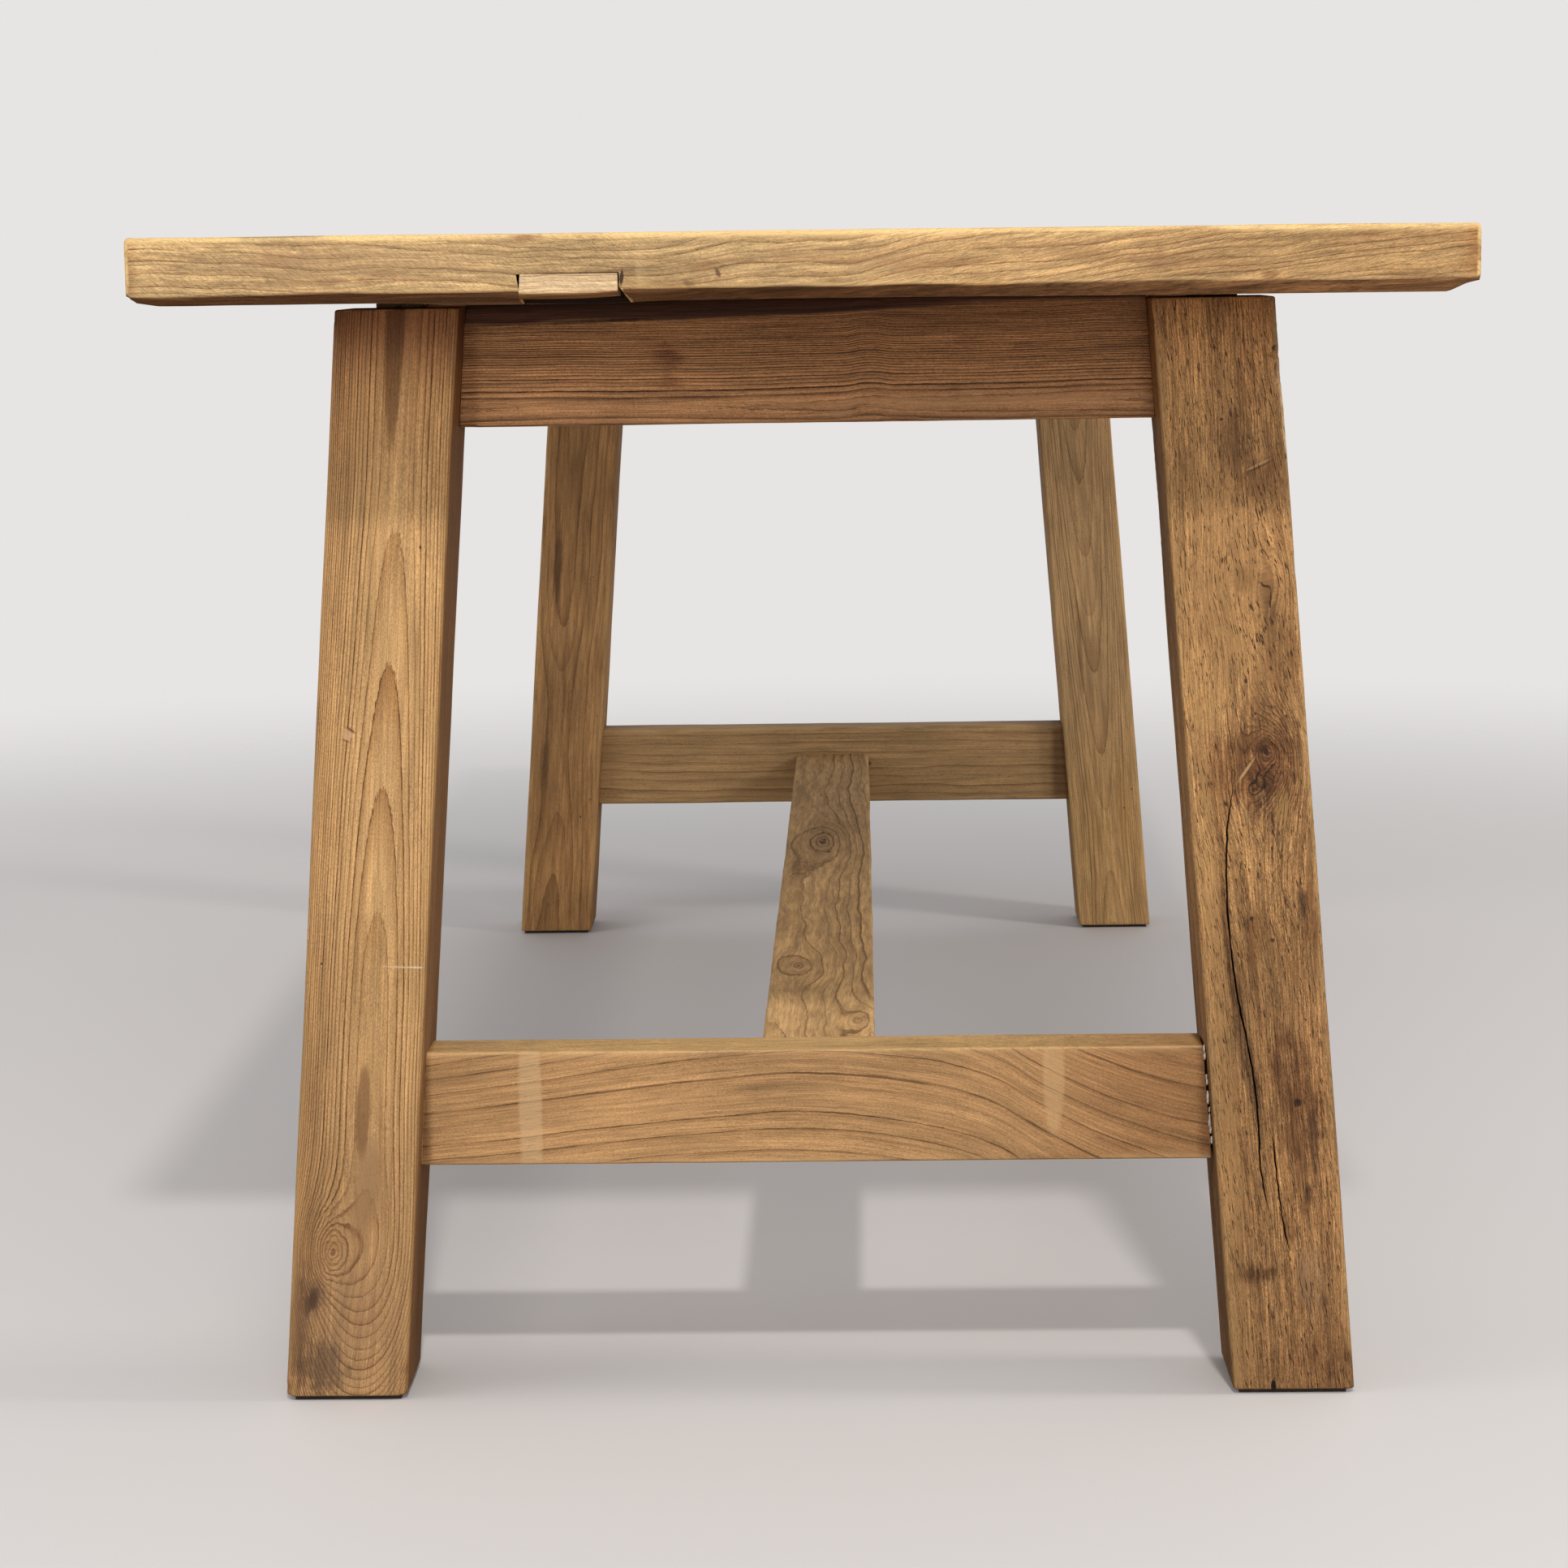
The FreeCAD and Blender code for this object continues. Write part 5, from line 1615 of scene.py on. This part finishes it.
def makePins():
    # blind pins whose ends show as small rounds on the underside; they follow the settled boards
    plan = {"planks": ("left_outer", "centre", "right_outer"), "radius": 0.004, "sides": 20, "sunk": 0.0004,
            "round": 0.0006, "shoulder": 0.004, "foot": 0.86, "taper": 0.96, "head": 0.8, "uneven": 0.05,
            "sharpAngle": 50}
    low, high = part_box("breadboard_pins")
    shell = bmesh.new()
    for side in (-1, 1):
        for plank in plan["planks"]:
            plankLow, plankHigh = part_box("top_plank_" + plank)
            x = (plankLow.x + plankHigh.x) / 2
            y = low.y + plan["radius"] if side < 0 else high.y - plan["radius"]
            lift = topPlan["liftNear"] if side < 0 else topPlan["liftPlanks"]
            bottom = float(settleTop(lift)(np.array([x]), np.array([underLevel]))[0]) + plan["sunk"]
            levels = ((bottom, plan["foot"]), (bottom + plan["round"], 1.0),
                      (high.z - plan["shoulder"], plan["taper"]), (high.z, plan["head"]))
            rings = []
            for z, share in levels:
                ring = []
                for step in range(plan["sides"]):
                    angle = 2 * math.pi * step / plan["sides"]
                    cosine, sine = math.cos(angle), math.sin(angle)
                    uneven = plan["uneven"] * abs(roughNoise(cosine * 2, sine * 2, x * 9))
                    reach = share * plan["radius"] * (1 - uneven)
                    ring.append(shell.verts.new((x + reach * cosine, y + reach * sine, z)))
                rings.append(ring)
            for lower, upper in zip(rings, rings[1:]):
                for step in range(plan["sides"]):
                    beside = (step + 1) % plan["sides"]
                    shell.faces.new((lower[step], lower[beside], upper[beside], upper[step]))
            shell.faces.new(rings[0][::-1])
            shell.faces.new(rings[-1])
    mesh = shellToMesh(shell, "breadboard_pegs")
    smoothMesh(mesh, plan["sharpAngle"])
    material = woodMaterial("elm of the pins", uprightFrame, hiddenWood)
    return dress(addPiece("breadboard_pegs", mesh), material, "breadboard_pins")


splineWood = woodMaterial("fresh wood of the splines", lengthFrame, {**hiddenWood, "early": (0.7, 0.5, 0.28)})
buttonWood = woodMaterial("pine of the buttons", acrossFrame, {**hiddenWood, "early": (0.52, 0.33, 0.15)})
makePins()
for index in range(1, 5):
    dressNode("plank_spline_" + str(index), splineWood)
dressNode("top_buttons", buttonWood)


def plainMaterial(name, look):
    # two colours mixed by a fine noise, for felt and for screw heads
    material, tree = blankMaterial(name)
    spot = Signal(tree, addNode(tree, "TexCoord").outputs["Object"])
    fine = spot.noise(look["scale"], 4.0, 0.7)
    age = useGroup(tree, ageGroup, {"Vector": spot, "Speck Share": 0.5})
    colour = mixColour(fine.fade(0.35, 0.65), *look["colours"])
    colour = mixColour(age["Grime"] * 0.6, colour, (0.09, 0.06, 0.045))
    rough = fine.fade(0.3, 0.7, *look["roughs"])
    bump = addNode(tree, "Bump", inputs={"Height": fine, "Strength": 0.8, "Distance": look["distance"]})
    shader = addNode(tree, "BsdfPrincipled", inputs={
        "Base Color": colour, "Roughness": rough, "Normal": bump.outputs[0], "Metallic": look["metallic"]})
    addNode(tree, "OutputMaterial", inputs={"Surface": shader.outputs[0]})
    return material


felt = {
    "colours": ((0.014, 0.012, 0.011), (0.045, 0.038, 0.034)), "roughs": (0.9, 1.0), "scale": 2600.0,
    "distance": 0.0008, "metallic": 0.0,
}
steel = {
    "colours": ((0.42, 0.42, 0.43), (0.6, 0.6, 0.6)), "roughs": (0.25, 0.5), "scale": 900.0,
    "distance": 0.0001, "metallic": 1.0,
}
dressNode("foot_pads", plainMaterial("dark felt", felt))
dressNode("button_screws", plainMaterial("zinc steel", steel))
print("small parts done")


# camera, light and floor

cameraPlan = {
    "eye": (0.0353, -3.1499, 0.7651), "down": 8.573, "left": 1.3265, "roll": -0.866, "focal": 4300.0,
    "frameWidth": 1932.0, "sensor": 36.0,
}
camera = bpy.data.cameras.new("camera")
camera.sensor_width = cameraPlan["sensor"]
camera.lens = cameraPlan["focal"] * cameraPlan["sensor"] / cameraPlan["frameWidth"]
cameraObject = addPiece("camera", camera)
cameraObject.matrix_world = (Matrix.Translation(cameraPlan["eye"])
                             @ Matrix.Rotation(math.radians(cameraPlan["left"]), 4, "Z")
                             @ Matrix.Rotation(math.radians(90 - cameraPlan["down"]), 4, "X")
                             @ Matrix.Rotation(math.radians(cameraPlan["roll"]), 4, "Z"))
bpy.context.scene.camera = cameraObject

lamps = {
    "key": {
        "place": (0.35, -4.2, 4.4), "aim": (0.0, -0.7, 0.45), "size": 0.3, "power": 112.0,
        "colour": (1.0, 0.97, 0.93),
    },
    "front": {
        "place": (0.5, -5.6, 1.25), "aim": (0.0, -0.9, 0.5), "size": 2.4, "power": 76.0,
        "colour": (1.0, 0.98, 0.95),
    },
    "left": {
        "place": (-3.2, -1.6, 2.0), "aim": (0.0, -0.5, 0.4), "size": 2.2, "power": 25.0,
        "colour": (0.97, 0.98, 1.0),
    },
    "right": {
        "place": (2.9, -0.9, 1.85), "aim": (0.0, 0.5, 0.3), "size": 0.5, "power": 32.0,
        "colour": (1.0, 0.98, 0.96),
    },
}
for name, plan in lamps.items():
    lamp = bpy.data.lights.new(name, "AREA")
    lamp.shape = "DISK"
    lamp.size = plan["size"]
    lamp.energy = plan["power"]
    lamp.color = plan["colour"]
    lampObject = addPiece(name, lamp)
    lampObject.location = plan["place"]
    towards = Vector(plan["aim"]) - Vector(plan["place"])
    lampObject.rotation_euler = towards.to_track_quat("-Z", "Y").to_euler()

world = bpy.data.worlds.new("room")
bpy.context.scene.world = world
world.use_nodes = True
tree = world.node_tree
tree.nodes.clear()
rays = addNode(tree, "LightPath").outputs
mirrored = Signal(tree, rays["Is Glossy Ray"]).atLeast(rays["Is Transmission Ray"])
seen = Signal(tree, rays["Is Camera Ray"]).atLeast(mirrored)
roomLight = addNode(tree, "Background", inputs={"Color": (0.96, 0.97, 1.0, 1.0), "Strength": 0.56})
backdrop = addNode(tree, "Background", inputs={"Color": (0.8, 0.78, 0.77, 1.0), "Strength": 1.0})
both = addNode(tree, "MixShader", inputs={0: seen, 1: roomLight.outputs[0], 2: backdrop.outputs[0]})
addNode(tree, "OutputWorld", inputs={"Surface": both.outputs[0]})

floorPlan = {
    "half": 9.0, "seen": (0.66, 0.635, 0.62), "bounce": (0.2, 0.13, 0.09), "fadeFrom": 1.3, "fadeTo": 3.4,
}
floorMesh = bpy.data.meshes.new("floor")
reach = floorPlan["half"]
floorMesh.from_pydata([(-reach, -reach, 0), (reach, -reach, 0), (reach, reach, 0), (-reach, reach, 0)], [],
                      [(0, 1, 2, 3)])
floor = addPiece("floor", floorMesh)
floorMaterial, tree = blankMaterial("plain floor")
byCamera = Signal(tree, addNode(tree, "LightPath").outputs["Is Camera Ray"])
position = addNode(tree, "NewGeometry").outputs["Position"]
distance = addNode(tree, "VectorMath", {"operation": "LENGTH"}, {0: position}).outputs["Value"]
faded = Signal(tree, distance).fade(floorPlan["fadeFrom"], floorPlan["fadeTo"]) * byCamera
floorColour = mixColour(byCamera, floorPlan["bounce"], floorPlan["seen"])
matt = addNode(tree, "BsdfPrincipled", inputs={"Base Color": floorColour, "Roughness": 0.7})
clear = addNode(tree, "BsdfTransparent")
both = addNode(tree, "MixShader", inputs={0: faded, 1: matt.outputs[0], 2: clear.outputs[0]})
addNode(tree, "OutputMaterial", inputs={"Surface": both.outputs[0]})
floorMesh.materials.append(floorMaterial)

bpy.context.scene.view_settings.view_transform = "Standard"
print("camera, lamps and floor done")
